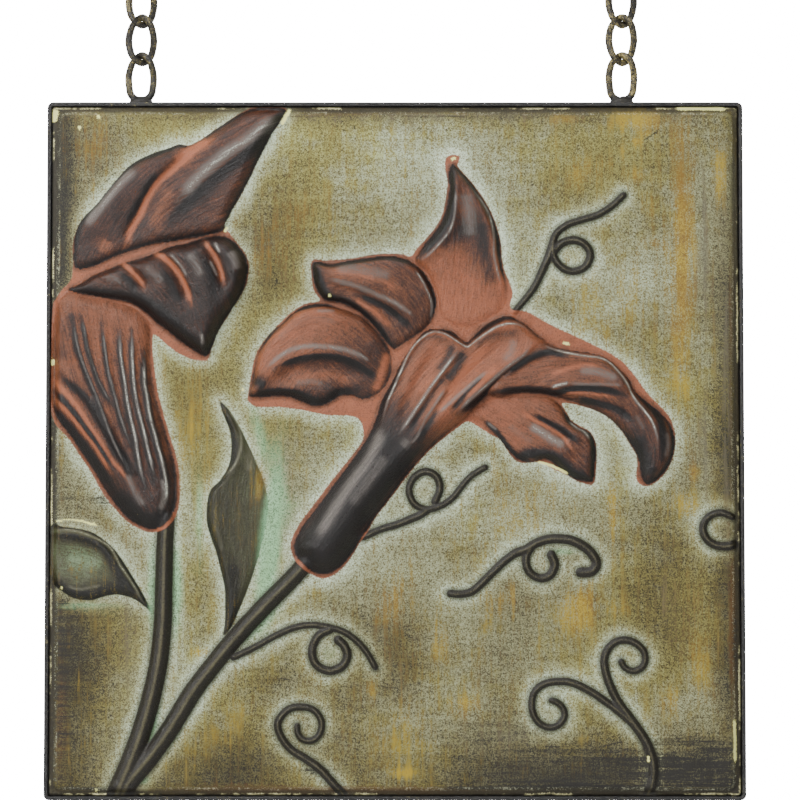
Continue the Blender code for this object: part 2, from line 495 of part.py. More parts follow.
def link_points(twist_below):
    """Centre line of a link: a round-ended loop whose legs twist so that its ends stand crossed"""
    bend = (LINK_WIDTH - LINK_WIRE) / 2
    straight = (LINK_LENGTH - LINK_WIDTH) / 2
    angles = [pi * step / LINK_BEND_STEPS for step in range(LINK_BEND_STEPS + 1)]
    loop = [(bend * cos(a), straight + bend * sin(a)) for a in angles]
    loop += [(-bend, 0)]
    loop += [(-bend * cos(a), -straight - bend * sin(a)) for a in angles]
    loop += [(bend, 0)]
    points = []
    for x, z in loop:
        share = max(-1, min(1, z / straight))
        turn = -LINK_TWIST * share if share > 0 else -twist_below * share
        points.append((x * cos(turn), x * sin(turn), z))
    return points


def wire_loop(name, points, wire):
    """A closed wire through the points, as a mesh"""
    curve = bpy.data.curves.new(name, "CURVE")
    curve.dimensions = "3D"
    curve.bevel_depth = wire / 2
    curve.bevel_resolution = 1
    spline = curve.splines.new("POLY")
    spline.points.add(len(points) - 1)
    for point, place in zip(spline.points, points):
        point.co = (*place, 1)
    spline.use_cyclic_u = True
    drawn = bpy.data.objects.new(name, curve)
    PARTS.objects.link(drawn)
    evaluated = drawn.evaluated_get(bpy.context.evaluated_depsgraph_get())
    mesh = bpy.data.meshes.new_from_object(evaluated)
    bpy.data.objects.remove(drawn)
    return mesh


def weld_bead(x):
    """The mound of weld metal that holds a link on the frame"""
    bm = bmesh.new()
    bmesh.ops.create_cone(bm, cap_ends=True, segments=WELD_SIDES, radius1=0.5,
                          radius2=0.5 * WELD_TOP_SHARE, depth=1)
    bmesh.ops.scale(bm, vec=(*WELD_FOOT, WELD_HEIGHT), verts=bm.verts)
    mesh = bpy.data.meshes.new("weld_bead")
    bm.to_mesh(mesh)
    bm.free()
    bead = bpy.data.objects.new("weld_bead", mesh)
    bead.location = (x, 0, FRAME_TOP_Z + TOUCHING_GAP + WELD_HEIGHT / 2)
    bead.hide_render = True
    bead.display_type = "WIRE"
    CUTTERS.objects.link(bead)
    return bead


def chain(side, x, paint):
    """One chain: the welded link, the twisted links above it and the hanging ring"""
    lug_mesh = wire_loop(f"chain_{side}_welded_link", link_points(0), LINK_WIRE)
    lug = add_object(f"chain_{side}_welded_link", lug_mesh, paint, (x, 0, LUG_Z))
    join = lug.modifiers.new("weld", "BOOLEAN")
    join.operation = "UNION"
    join.object = weld_bead(x)
    for number in range(1, LINKS_PER_CHAIN + 1):
        name = f"chain_{side}_link_{number}"
        mesh = wire_loop(name, link_points(LINK_TWIST), LINK_WIRE)
        add_object(name, mesh, paint, (x, 0, LUG_Z + number * LINK_PITCH))
    name = f"chain_{side}_hanging_ring"
    angles = [2 * pi * step / RING_STEPS for step in range(RING_STEPS)]
    circle = [(RING_RADIUS * cos(angle), 0, RING_RADIUS * sin(angle)) for angle in angles]
    add_object(name, wire_loop(name, circle, RING_WIRE), paint, (x, 0, RING_Z), LINK_TWIST)


for old in list(bpy.data.objects):
    bpy.data.objects.remove(old)
PARTS = bpy.data.collections.new("lily_wall_panel")
CUTTERS = bpy.data.collections.new("cutters")
for group in (PARTS, CUTTERS):
    bpy.context.scene.collection.children.link(group)

pressed_sheet(material("sheet"))
bar_frame(material("frame"))
CHAIN_PAINT = material("chain")
for chain_side, chain_x in CHAIN_PLACES.items():
    chain(chain_side, chain_x, CHAIN_PAINT)
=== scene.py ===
from math import cos, pi, radians, sin

import bmesh
import bpy
import numpy as np
from mathutils import Matrix, Vector, noise


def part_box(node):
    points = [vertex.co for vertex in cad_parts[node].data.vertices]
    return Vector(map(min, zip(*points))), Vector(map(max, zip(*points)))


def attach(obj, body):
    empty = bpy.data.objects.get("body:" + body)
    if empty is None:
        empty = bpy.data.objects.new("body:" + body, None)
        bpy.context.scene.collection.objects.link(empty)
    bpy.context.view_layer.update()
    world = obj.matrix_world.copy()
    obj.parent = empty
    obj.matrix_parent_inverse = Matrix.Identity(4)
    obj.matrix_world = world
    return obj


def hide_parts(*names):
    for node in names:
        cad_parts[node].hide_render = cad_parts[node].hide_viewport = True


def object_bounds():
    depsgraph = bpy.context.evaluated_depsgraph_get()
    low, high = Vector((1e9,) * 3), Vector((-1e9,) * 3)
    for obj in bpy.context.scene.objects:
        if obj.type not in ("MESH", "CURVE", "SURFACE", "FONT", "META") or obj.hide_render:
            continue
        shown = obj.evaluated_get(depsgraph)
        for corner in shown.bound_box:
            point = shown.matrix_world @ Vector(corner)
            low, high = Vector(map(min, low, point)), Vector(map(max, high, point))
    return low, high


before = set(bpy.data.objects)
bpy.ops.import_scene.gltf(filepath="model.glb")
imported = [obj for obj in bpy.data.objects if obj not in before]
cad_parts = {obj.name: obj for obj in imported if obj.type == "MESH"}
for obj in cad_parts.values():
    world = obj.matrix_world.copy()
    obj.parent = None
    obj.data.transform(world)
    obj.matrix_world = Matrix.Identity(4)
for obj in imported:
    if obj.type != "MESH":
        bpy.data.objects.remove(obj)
cadLow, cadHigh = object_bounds()
frameLow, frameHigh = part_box("bar_frame")
sheetLow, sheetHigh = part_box("embossed_sheet")

# Everything on the panel is placed in percent of its side: u from the left edge, v from the foot.
# The sheet's rim lies a millimetre behind the frame's front edge
panel = {"side": frameHigh.x - frameLow.x, "middleZ": (frameLow.z + frameHigh.z) / 2,
         "rimY": frameLow.y + 0.001}

# The pressed relief. A figure has an outline, its height and shoulder width at two places, and
# folds: a path, a height, and the reach of the slope to the left and to the right of the path
figures = {
    "budBackPetal": {
        "outline": [
            (4.3, 76), (3.95, 78.6), (4.35, 81.4), (5.6, 83.7), (7.2, 85.4), (8.9, 87.5), (10.3, 89.1),
            (11.7, 90.6), (13.2, 91.6), (15.2, 92.6), (17.3, 93.2), (19.1, 93.8), (20.4, 93.6), (22, 94.5),
            (25.2, 96.6), (28.4, 98.6), (30.2, 99.2), (32.4, 99.3), (34.3, 98.8), (33.4, 97), (32.1, 94.8),
            (30.6, 92), (29.2, 89), (27.9, 86.6), (26.4, 83.8), (25.3, 81.4), (20, 80.2), (15, 79.4),
            (10.5, 78), (7, 76.4)],
        "rise": [(16, 90, 0.46, 1.7), (12, 78, 0.22, 1.2)],
        "folds": [
            ([(20.8, 93.4), (19.2, 91.2), (17.4, 89.4), (15.6, 87.4), (14.2, 85.2), (13.1, 83.2), (12, 81.2),
              (11.2, 79.2)], -0.26, 2, 0.8),
            ([(15.6, 82.6), (17.4, 85.6), (19.8, 87.9), (22.1, 90), (25.6, 92.7), (29.1, 95.2), (32.1, 97.4),
              (33.6, 98.5)], 0.17, 2.2, 1.7),
            ([(5.4, 79.4), (7, 82.4), (9.8, 85.4), (12.6, 87.8), (15.4, 90), (18, 91.8)], 0.12, 1.8, 2)]},
    "budBell": {
        "outline": [
            (3.4, 72.4), (1.8, 70.8), (1.1, 67.5), (0.9, 62.5), (0.95, 57), (1.8, 54.4), (3.6, 52),
            (5.2, 49.6), (7, 46.9), (8.6, 44.3), (10.1, 42.2), (11.9, 40.2), (13.6, 39.1), (15.2, 38.6),
            (16.9, 39), (18, 40.2), (18.6, 41.9), (18.8, 44.2), (18.6, 47.4), (18.1, 49.5), (17.3, 52.2),
            (16.5, 54.9), (15.7, 57.7), (15.2, 60.8), (15, 63.8), (14.9, 67.4), (13, 69.8), (9, 71.4),
            (6, 72)],
        "rise": [(8, 62, 0.36, 2), (15, 43, 0.62, 3)],
        "folds": [
            ([(1.3, 62.6), (3.1, 60.8), (5.1, 58.3), (6.8, 56), (8.2, 53.6), (10.1, 50.3), (11.1, 48.4),
              (12.7, 46), (14.2, 43.6)], 0.15, 0.62, 0.52),
            ([(1.3, 58.1), (3.7, 55.6), (6.2, 52.6), (8.6, 48.8), (10.4, 46.4),
              (12.4, 43.6)], 0.14, 0.6, 0.6),
            ([(3.9, 69), (4.3, 66), (5, 63.2), (6.2, 60.1), (7.2, 57.7), (8.6, 54.4), (9.9, 51.5),
              (11.3, 48.9), (12.8, 46.6)], 0.15, 0.5, 0.5),
            ([(5.6, 68.6), (5.9, 64.6), (6.6, 61.8), (7.6, 59.3), (8.9, 56.8),
              (9.9, 54.2)], 0.13, 0.42, 0.42),
            ([(8.3, 68.4), (8.5, 64.6), (9, 61.8), (9.7, 58.5), (10.7, 55.2), (11.7, 52.1), (12.6, 49.8),
              (13.4, 47.2)], 0.15, 0.48, 0.48),
            ([(10.6, 68), (10.8, 65), (11, 61.8), (11.5, 58.5), (12.3, 54.8), (13.2, 51.5), (13.7, 48.2),
              (14.5, 44.8)], 0.16, 0.48, 0.44),
            ([(12.6, 67.4), (12.5, 63.8), (12.7, 60.1), (13.2, 56.4), (14.2, 52.3), (15.2, 48.4),
              (15.9, 44.8)], 0.16, 0.46, 0.44),
            ([(14.2, 66.6), (14.1, 61.8), (14.4, 58.1), (15.2, 54), (16.4, 49.9), (17.2, 46.4),
              (17.4, 42.6)], 0.15, 0.5, 0.4),
            ([(15.4, 43.6), (16.4, 42), (16.6, 40.6)], 0.08, 1.4, 1.2)]},
    "budFlap": {
        "outline": [
            (3.4, 72.8), (4.9, 73.6), (6.7, 74.8), (9, 75.8), (11.4, 76.7), (13.6, 77.3), (15.6, 78.1),
            (18, 79.1), (20, 79.4), (22.6, 80.3), (25, 80.5), (26.6, 79.9), (27.7, 78.8), (28.6, 77.5),
            (28.9, 75.9), (28.6, 73.9), (27.9, 72.1), (26.9, 70.4), (25.4, 68.3), (24.5, 66.4), (23.7, 64.5),
            (23.1, 63.5), (22.4, 63.5), (21.2, 64.2), (19.6, 65.3), (17.6, 66.9), (15.6, 68.4), (14, 69.9),
            (12.4, 70.9), (10, 71.5), (6.7, 72)],
        "rise": [(7, 73.3, 0.42, 1), (22, 72, 0.84, 1.9)],
        "folds": [
            ([(10.7, 76.9), (12.2, 75.7), (13.6, 74.1), (14.2, 72.6)], -0.3, 0.55, 0.75),
            ([(15.3, 78.3), (17.3, 77), (18.7, 75.4), (19.9, 73.2), (20.8, 70.6)], -0.34, 0.6, 0.9),
            ([(21.9, 80.4), (23.5, 78.5), (24.7, 76.5), (25.4, 74.4), (25.7, 72.4)], -0.34, 0.6, 0.8),
            ([(7.6, 74.9), (9.4, 74.6), (11, 73.6)], 0.1, 0.8, 0.8),
            ([(13, 76.6), (14.9, 75.6), (16.6, 73.9), (17.6, 71.6)], 0.1, 0.9, 0.9),
            ([(19.4, 78.8), (21.2, 77.2), (22.6, 74.8), (23.2, 71.4), (22.8, 67)], 0.1, 1.1, 1.1),
            ([(26.4, 78.8), (27.2, 76.6), (27.2, 74.2), (26.2, 71.4)], 0.08, 0.9, 0.9)]},
    "lowLeftPetal": {
        "outline": [
            (29.1, 57.6), (29.5, 59.8), (30.1, 63), (31, 64.9), (32.2, 66.5), (33.8, 68), (35.3, 69.4),
            (36.8, 70.3), (38.6, 70.7), (40.3, 70.7), (42, 70.2), (43.7, 69.6), (45.3, 69), (46.6, 67.8),
            (48, 66.1), (49.3, 63.8), (49.4, 61), (48.4, 58.8), (46.8, 57.6), (45.3, 57.2), (44, 57.7),
            (42.4, 57.8), (41, 57), (39.8, 56.4), (38.3, 56.3), (36.7, 56.8), (35.2, 57.4), (33.5, 57.6),
            (31.2, 57.5)],
        "rise": [(40, 66, 0.46, 1.3), (48.2, 60, 0.1, 1.3)],
        "folds": [
            ([(30.4, 58.6), (31.2, 59.8), (32.4, 60.9), (33.7, 62.1), (35.2, 63), (37.2, 63.6), (39.8, 63.7),
              (42.4, 63.4), (44.6, 62.8), (46.3, 61.6), (47.4, 60.2)], 0.2, 2.4, 0.75),
            ([(32.6, 59.4), (35.6, 61), (39.4, 61.7), (42.8, 61.2), (45.4, 60)], -0.2, 0.8, 1.5),
            ([(33.6, 66.6), (35.4, 68.6), (38.5, 69.6), (41.8, 69.2), (45, 67.9)], 0.08, 0.9, 1.3),
            ([(33.2, 58.6), (36.4, 58.6), (39.6, 58.2), (42.4, 59)], 0.1, 0.8, 0.8)]},
    "upperLeftPetal": {
        "outline": [
            (38.4, 76.8), (40.8, 76.5), (43.1, 76.9), (45.6, 77.3), (48, 77.6), (50, 77.6), (51.7, 77.1),
            (52.9, 76.4), (54, 75.4), (54.9, 74), (55.6, 72.5), (55.8, 70.9), (55.5, 69.2), (54.8, 67.8),
            (53.4, 66.6), (51.6, 65.4), (50, 64.4), (49.2, 65), (48.3, 66), (47, 67.7), (45.4, 69.3),
            (43.8, 70.4), (42, 71.1), (40.5, 71.2), (39.5, 71.9), (38.7, 73.2), (38.3, 75)],
        "rise": [(47, 74, 0.54, 1), (51.5, 66, 0.2, 1.1)],
        "folds": [
            ([(39, 76), (41, 74.7), (43.8, 73.9), (46.6, 73), (48.9, 71.8), (50.7, 70.4), (52, 69),
              (52.8, 67.6)], 0.17, 2.2, 0.7),
            ([(40.6, 73.4), (43.6, 72.4), (46.8, 71), (49.2, 69.2), (50.6, 67.2)], -0.2, 0.8, 1.3),
            ([(50.4, 76.6), (52.6, 75.6), (54.2, 73.8), (55, 71.4)], 0.08, 0.6, 0.9)]},
    "topPetal": {
        "outline": [
            (58.2, 90.9), (59.1, 90.2), (60.3, 88.9), (61.5, 87.4), (63.1, 84.9), (64.1, 82.8), (64.8, 80.5),
            (65.1, 77.9), (65.4, 75.9), (65.9, 73.9), (66, 72), (65.2, 70.4), (62, 68.2), (59, 67.8),
            (56.8, 69.2), (56.2, 72.4), (54.8, 75.2), (53, 76.9), (53.5, 78.2), (54.3, 79.4), (55.3, 80.5),
            (56.4, 82), (57.2, 83.8), (57.7, 85.8), (57.9, 87.4), (57.8, 89.4)],
        "rise": [(60, 84, 0.48, 1), (60, 71, 0.07, 1)],
        "folds": [
            ([(58.5, 90.2), (58.7, 87.6), (58.7, 85.6), (58.4, 83.6), (57.9, 81.7), (56.8, 79.9),
              (55.3, 78.3), (53.8, 77.2)], 0.12, 0.7, 0.9),
            ([(59.8, 88.8), (61.4, 86.6), (63, 83.4), (63.8, 80.8), (64.3, 77.9), (64.9, 74.9),
              (65.4, 72.8)], 0.13, 0.5, 0.9),
            ([(60, 86.6), (60.6, 82.6), (60.6, 78.4), (60.4, 74.4)], -0.1, 1.8, 1.8)]},
    "lowerPetal": {
        "outline": [
            (60.6, 55), (62.6, 53.9), (63.7, 52.7), (65, 51.4), (66, 50.2), (67, 49.1), (68.2, 48.3),
            (69.6, 48.1), (70.8, 48.5), (72.2, 48.4), (73.8, 47.1), (75.2, 46), (76.8, 45.5), (78.2, 45.4),
            (78.4, 47.1), (78.6, 49.6), (78.3, 51.4), (77.6, 52.4), (76.2, 53.1), (75.2, 53.9), (74.4, 55.1),
            (73.6, 56.3), (72, 57.4), (68, 57.6), (64, 56.8)],
        "rise": [(74, 49, 0.44, 1), (64.5, 56, 0.1, 1)],
        "folds": [
            ([(67, 55.2), (68.9, 53.9), (70.8, 52.7), (72.6, 51.4), (74.2, 49.8),
              (75.6, 48)], 0.13, 0.9, 1.5),
            ([(69.7, 55.8), (72.2, 54.3), (74.2, 52.9), (75.9, 51.4), (77, 49.8)], 0.12, 0.7, 0.6),
            ([(69.2, 54.9), (71.4, 53.7), (73.4, 52.4), (75.2, 50.8)], -0.12, 0.5, 0.5),
            ([(74.6, 54.6), (75.6, 53.4), (76.9, 52.5), (77.9, 51.3), (78.1, 49.6)], 0.1, 0.5, 0.7)]},
    "droopingPetal": {
        "outline": [
            (70, 65.4), (71.7, 65.2), (73.6, 64.4), (75.6, 64), (77.7, 63.8), (79.6, 63.3), (81.2, 62.3),
            (82.5, 61.1), (83.5, 59.9), (84.3, 58.3), (85.4, 57.2), (86.9, 56), (88.4, 54.7), (89.4, 53.4),
            (89.9, 51.4), (89.7, 49.2), (88.8, 47.2), (87.3, 45.6), (85.9, 45), (85.2, 46.2), (84.9, 48.3),
            (84.2, 50), (82.6, 52.4), (80.9, 54.1), (79.1, 55.3), (76.8, 56.3), (74, 57.2), (70.9, 57.9),
            (67.4, 58), (64.8, 57.3), (63, 58.6), (66, 62)],
        "rise": [(73, 61, 0.54, 1.2), (87, 48, 0.44, 1.5)],
        "folds": [
            ([(70.8, 65), (72.6, 64.3), (75.2, 63.6), (77.5, 63.3), (79.8, 62.5), (81.6, 61.1), (83, 59.6),
              (83.9, 58), (85, 56.2), (86.3, 54.5), (87.2, 52.6), (87.6, 50.8), (87.4, 49),
              (86.4, 46.8)], 0.14, 0.55, 0.7),
            ([(71.4, 57.9), (73, 58.8), (75.6, 59.1), (78.6, 59), (81.4, 58.6),
              (83.2, 57.4)], 0.14, 1.7, 0.35),
            ([(73.6, 57.2), (76.8, 57), (81.2, 55.9), (84.3, 53.8)], -0.17, 0.6, 1.4),
            ([(66.4, 60.4), (69.9, 62.3), (72.6, 63.4)], -0.16, 0.5, 0.9),
            ([(68, 59.6), (71.4, 60.8), (75, 61.4), (78.8, 61)], -0.09, 1.3, 1.3)]},
    "trumpet": {
        "outline": [
            (35.7, 36.2), (36.2, 37.8), (37.3, 39.6), (38.9, 41.6), (41.1, 44.6), (43.2, 47.4), (45.1, 50),
            (46.3, 51.8), (47.1, 53.6), (47.7, 55.4), (48.2, 57), (49.1, 58.6), (50, 60.2), (50.8, 62),
            (51.9, 63.9), (53.2, 65.7), (54.5, 66.9), (55.9, 67.2), (57.4, 67), (58.7, 66.4), (59.8, 65.5),
            (60.5, 65.3), (61.4, 66.3), (63, 67.7), (64.6, 68.6), (66.1, 69), (67.5, 68.5), (68.9, 67.7),
            (70.3, 66.4), (71.6, 65.4), (71, 64), (68.6, 62.2), (66.2, 60.4), (64, 58.6), (61.8, 56.4),
            (60.3, 54.6), (58.6, 53.2), (56.6, 51.5), (54.7, 49.8), (52.7, 47.6), (50.9, 45.4), (49, 42.8),
            (47.1, 40.3), (46, 38.5), (44.9, 36.9), (43.6, 34.9), (42.4, 33.5), (41.1, 32.5), (39.8, 32.2),
            (38.4, 32.5), (37, 33.5), (36, 34.8)],
        "rise": [(44, 44, 1, 3.7), (59, 61, 0.62, 1.5)],
        "folds": [
            ([(47.6, 51.4), (48.2, 53.4), (48.8, 55.7), (49.5, 57.6), (50.4, 59.4), (51.3, 61.6),
              (52.4, 63.7), (53.7, 65.5), (55.1, 66.4), (56.6, 66.3), (58.2, 65.7), (59.4, 64.8),
              (60.4, 64.4), (61.4, 65), (62.1, 65.8), (63.6, 67), (65.2, 67.7), (66.9, 67.9), (68.4, 67.3),
              (69.8, 66)], 0.14, 0.6, 0.5),
            ([(59.5, 64.4), (57.9, 62.5), (56.4, 60.6), (55.1, 58.9), (53.8, 57), (52.4, 54.8),
              (51.1, 52.4)], 0.15, 0.5, 0.5),
            ([(57.6, 59.4), (56.2, 57.2), (54.7, 55), (53.4, 53), (52, 50.8)], 0.11, 0.4, 0.4),
            ([(64.2, 61.6), (62, 60), (60.2, 58.5), (58.5, 56.8), (56.9, 55.2),
              (55.2, 53.2)], 0.12, 0.6, 0.5),
            ([(70.1, 65.2), (68.9, 63.6), (66.9, 62), (65.2, 60.8), (63.6, 59.5), (62, 57.9), (60.6, 56.6),
              (59.2, 55)], 0.17, 0.6, 1),
            ([(56.6, 64.8), (54.9, 62.2), (53.2, 59.2), (51.8, 56.4), (50.4, 53.2)], -0.15, 0.9, 0.9),
            ([(66.6, 66), (63.4, 63.4), (60.6, 60.6), (58, 57.6)], -0.14, 0.9, 0.9)]},
    "edgeLeaf": {
        "outline": [
            (0.7, 38.9), (2.6, 38.9), (4.5, 38.7), (6, 38.4), (7.4, 37.8), (8.7, 36.9), (9.8, 35.9),
            (10.7, 34.8), (11.5, 33.6), (12.5, 32), (13.5, 30.4), (14.6, 28.4), (15.5, 26.6), (14.2, 27.6),
            (12.8, 28.6), (10.6, 29.2), (8.7, 29), (6.8, 28.4), (4.3, 28.7), (2.4, 29.8), (0.8, 31.8)],
        "rise": [(4, 34, 0.3, 0.9), (14, 28.5, 0.26, 0.8)],
        "folds": [
            ([(1, 35), (3.2, 34.6), (5.4, 34.2), (7.4, 33.4)], -0.27, 2, 2.2),
            ([(1.2, 38), (4.6, 37.7), (7.3, 36.7), (9.3, 34.8), (10.8, 32.4), (12.8, 29.8),
              (14.8, 27.3)], 0.12, 0.45, 0.6)]},
    "tallLeaf": {
        "outline": [
            (24.9, 57), (25.2, 55.6), (25.7, 54.3), (26.4, 52.5), (26.6, 50.1), (26.2, 47.6), (25.1, 45.7),
            (23.7, 44.2), (23.2, 42.4), (23.1, 39.9), (23.6, 37.7), (24.5, 35.3), (25.1, 32.9), (25.7, 30.2),
            (25.8, 27.5), (25.7, 24.8), (25.5, 23.4), (26.6, 24.4), (28, 27.5), (29.1, 30.2), (30.1, 33.1),
            (30.9, 36.1), (31.6, 39.3), (31.9, 42), (31.6, 44.4), (30.8, 46.7), (29.8, 49), (28.8, 51.2),
            (27.8, 53.1), (26.6, 55.2)],
        "rise": [(24.6, 40, 0.36, 0.9), (32.4, 40, 0.04, 0.9)],
        "folds": [
            ([(25.4, 56.2), (26.8, 54.6), (27.8, 52.6), (28, 50.4), (27.5, 48.2), (26.2, 46.2),
              (24.9, 44.8)], 0.12, 1.1, 0.7),
            ([(24.6, 43.6), (24.2, 40.6), (24.8, 37.2), (25.8, 33.4), (26.5, 29.4),
              (26.5, 26)], 0.07, 0.6, 0.8)]},
}

# Stems and tendrils are round beads: path, height share, half width at the start and at the end
beads = {
    "budStem": ([(17.4, 40.4), (17.2, 37), (17.1, 34), (17, 28), (16.9, 25), (16.4, 20), (15.4, 15), (14, 10),
        (12.2, 5), (10.9, 2), (10.4, 0.8)], 0.42, 1.15, 1.45),
    "trumpetStem": ([(37.6, 34.2), (36.2, 32.5), (34.2, 30.4), (31.3, 27.5), (28.6, 24.6), (26, 21.6),
        (24, 19.1), (21.2, 15.4), (17.9, 10), (15, 6), (12.5, 3), (11.2, 0.8)], 0.42, 1.22, 1.35),
    "topTendrilFoot": ([(67.1, 69.7), (68.5, 71.3), (70, 73.3), (71.1, 75.6), (72, 77.6),
        (72.7, 79.6)], 0.22, 0.42, 0.62),
    "topTendril": ([(82.8, 86.5), (81.1, 84.9), (79, 83.6), (76.7, 82.9), (74.7, 82.2), (73.1, 80.9),
        (72.6, 79.2), (72.9, 77.4), (74, 76), (75.6, 75.5), (77.2, 76.1), (78, 77.7), (77.4, 79.2),
        (75.8, 80), (74, 79.6), (73, 78.6)], 0.23, 0.46, 0.58),
    "middleTendrilFoot": ([(45.4, 37.4), (48.1, 38.6), (50.2, 39.2), (52.2, 40), (53.6, 40.6),
        (54.6, 41.3)], 0.2, 0.46, 0.58),
    "middleTendril": ([(62.9, 47.4), (62, 46.9), (60.7, 46), (59.4, 44.5), (58.4, 43.2), (57.1, 42.2),
        (55.8, 41.6), (54.4, 41.4), (53.1, 41.9), (52.3, 42.9), (52, 44.4), (52.8, 46), (54.4, 46.8),
        (56, 46), (56.4, 44.2), (55.7, 42.5)], 0.22, 0.42, 0.54),
    "floatingTendril": ([(57.9, 29.4), (59.4, 29.3), (61, 29.7), (62.5, 31), (64, 32.5), (65.6, 34),
        (67.1, 35.1), (68.7, 35.7), (70.2, 36.6), (71.8, 37.1), (73.6, 37.2), (75.4, 36.9), (77.2, 35.9),
        (78.4, 34.6), (78.7, 33.4), (77.9, 32.5), (76.5, 32.4)], 0.23, 0.52, 0.72),
    "floatingCurl": ([(69.6, 36.2), (68.7, 34.6), (69, 32.7), (70.5, 31.6), (72.1, 32), (72.8, 33.5),
        (72.3, 34.9)], 0.22, 0.54, 0.64),
    "lowTendril": ([(27, 20.3), (30.1, 21.8), (32.8, 23.3), (35.2, 24.4), (37.4, 24.9), (39.5, 24.8),
        (41.4, 24.4), (43, 23.8), (44.6, 22.6), (46, 21), (47.2, 18.9)], 0.21, 0.46, 0.44),
    "lowCurl": ([(40.8, 24.3), (39.1, 23.4), (38.2, 21.4), (38.7, 19.4), (40.5, 18.4), (42.4, 19),
        (43.2, 20.5), (42.8, 21.9), (41.9, 22.8)], 0.23, 0.56, 0.62),
    "footSpiral": ([(42.7, 0.8), (40.8, 2.9), (39.2, 4.6), (37.2, 6), (35.3, 7.2), (33.9, 8.9), (33.3, 10.8),
        (34, 12.2), (35.2, 13.1), (36.8, 13.3), (38.5, 12.8), (39.5, 11.4), (39.4, 9.7), (38.4, 8.6),
        (37, 8.6), (36.2, 9.5), (36.1, 10.6)], 0.24, 0.62, 0.42),
    "cornerSpiral": ([(86, 0.7), (86.6, 2.8), (86.7, 5), (86.3, 6.9), (85.5, 8.7), (84.3, 10.5), (83, 12.3),
        (81.7, 14.1), (80.7, 16.1), (80, 18.2), (79.8, 20), (80.3, 21.5), (81.4, 22.5), (82.8, 22.8),
        (84.3, 22.3), (85.4, 21.2), (85.6, 19.8), (84.9, 18.7), (83.7, 18.4), (82.7, 18.9),
        (82.2, 19.7)], 0.24, 0.74, 0.44),
    "cornerBranch": ([(85.3, 9), (83.7, 11), (81.9, 12.6), (79.9, 14.1), (77.8, 15.5), (75.5, 16.6),
        (73.5, 16.9), (71.4, 16.6), (70, 15.6), (69.5, 14.2), (69.6, 12.5), (70.4, 11.1), (71.8, 10.4),
        (73.2, 10.7), (74.1, 11.9), (73.9, 13.1), (73.1, 13.9), (72.3, 14.2)], 0.23, 0.58, 0.44),
    "edgeCurl": ([(98.5, 36.4), (97.2, 36.1), (95.4, 36.4), (94.2, 37.6), (94, 39.2), (95, 40.5),
        (96.6, 40.9), (98.2, 40.3)], 0.24, 0.62, 0.46),
}

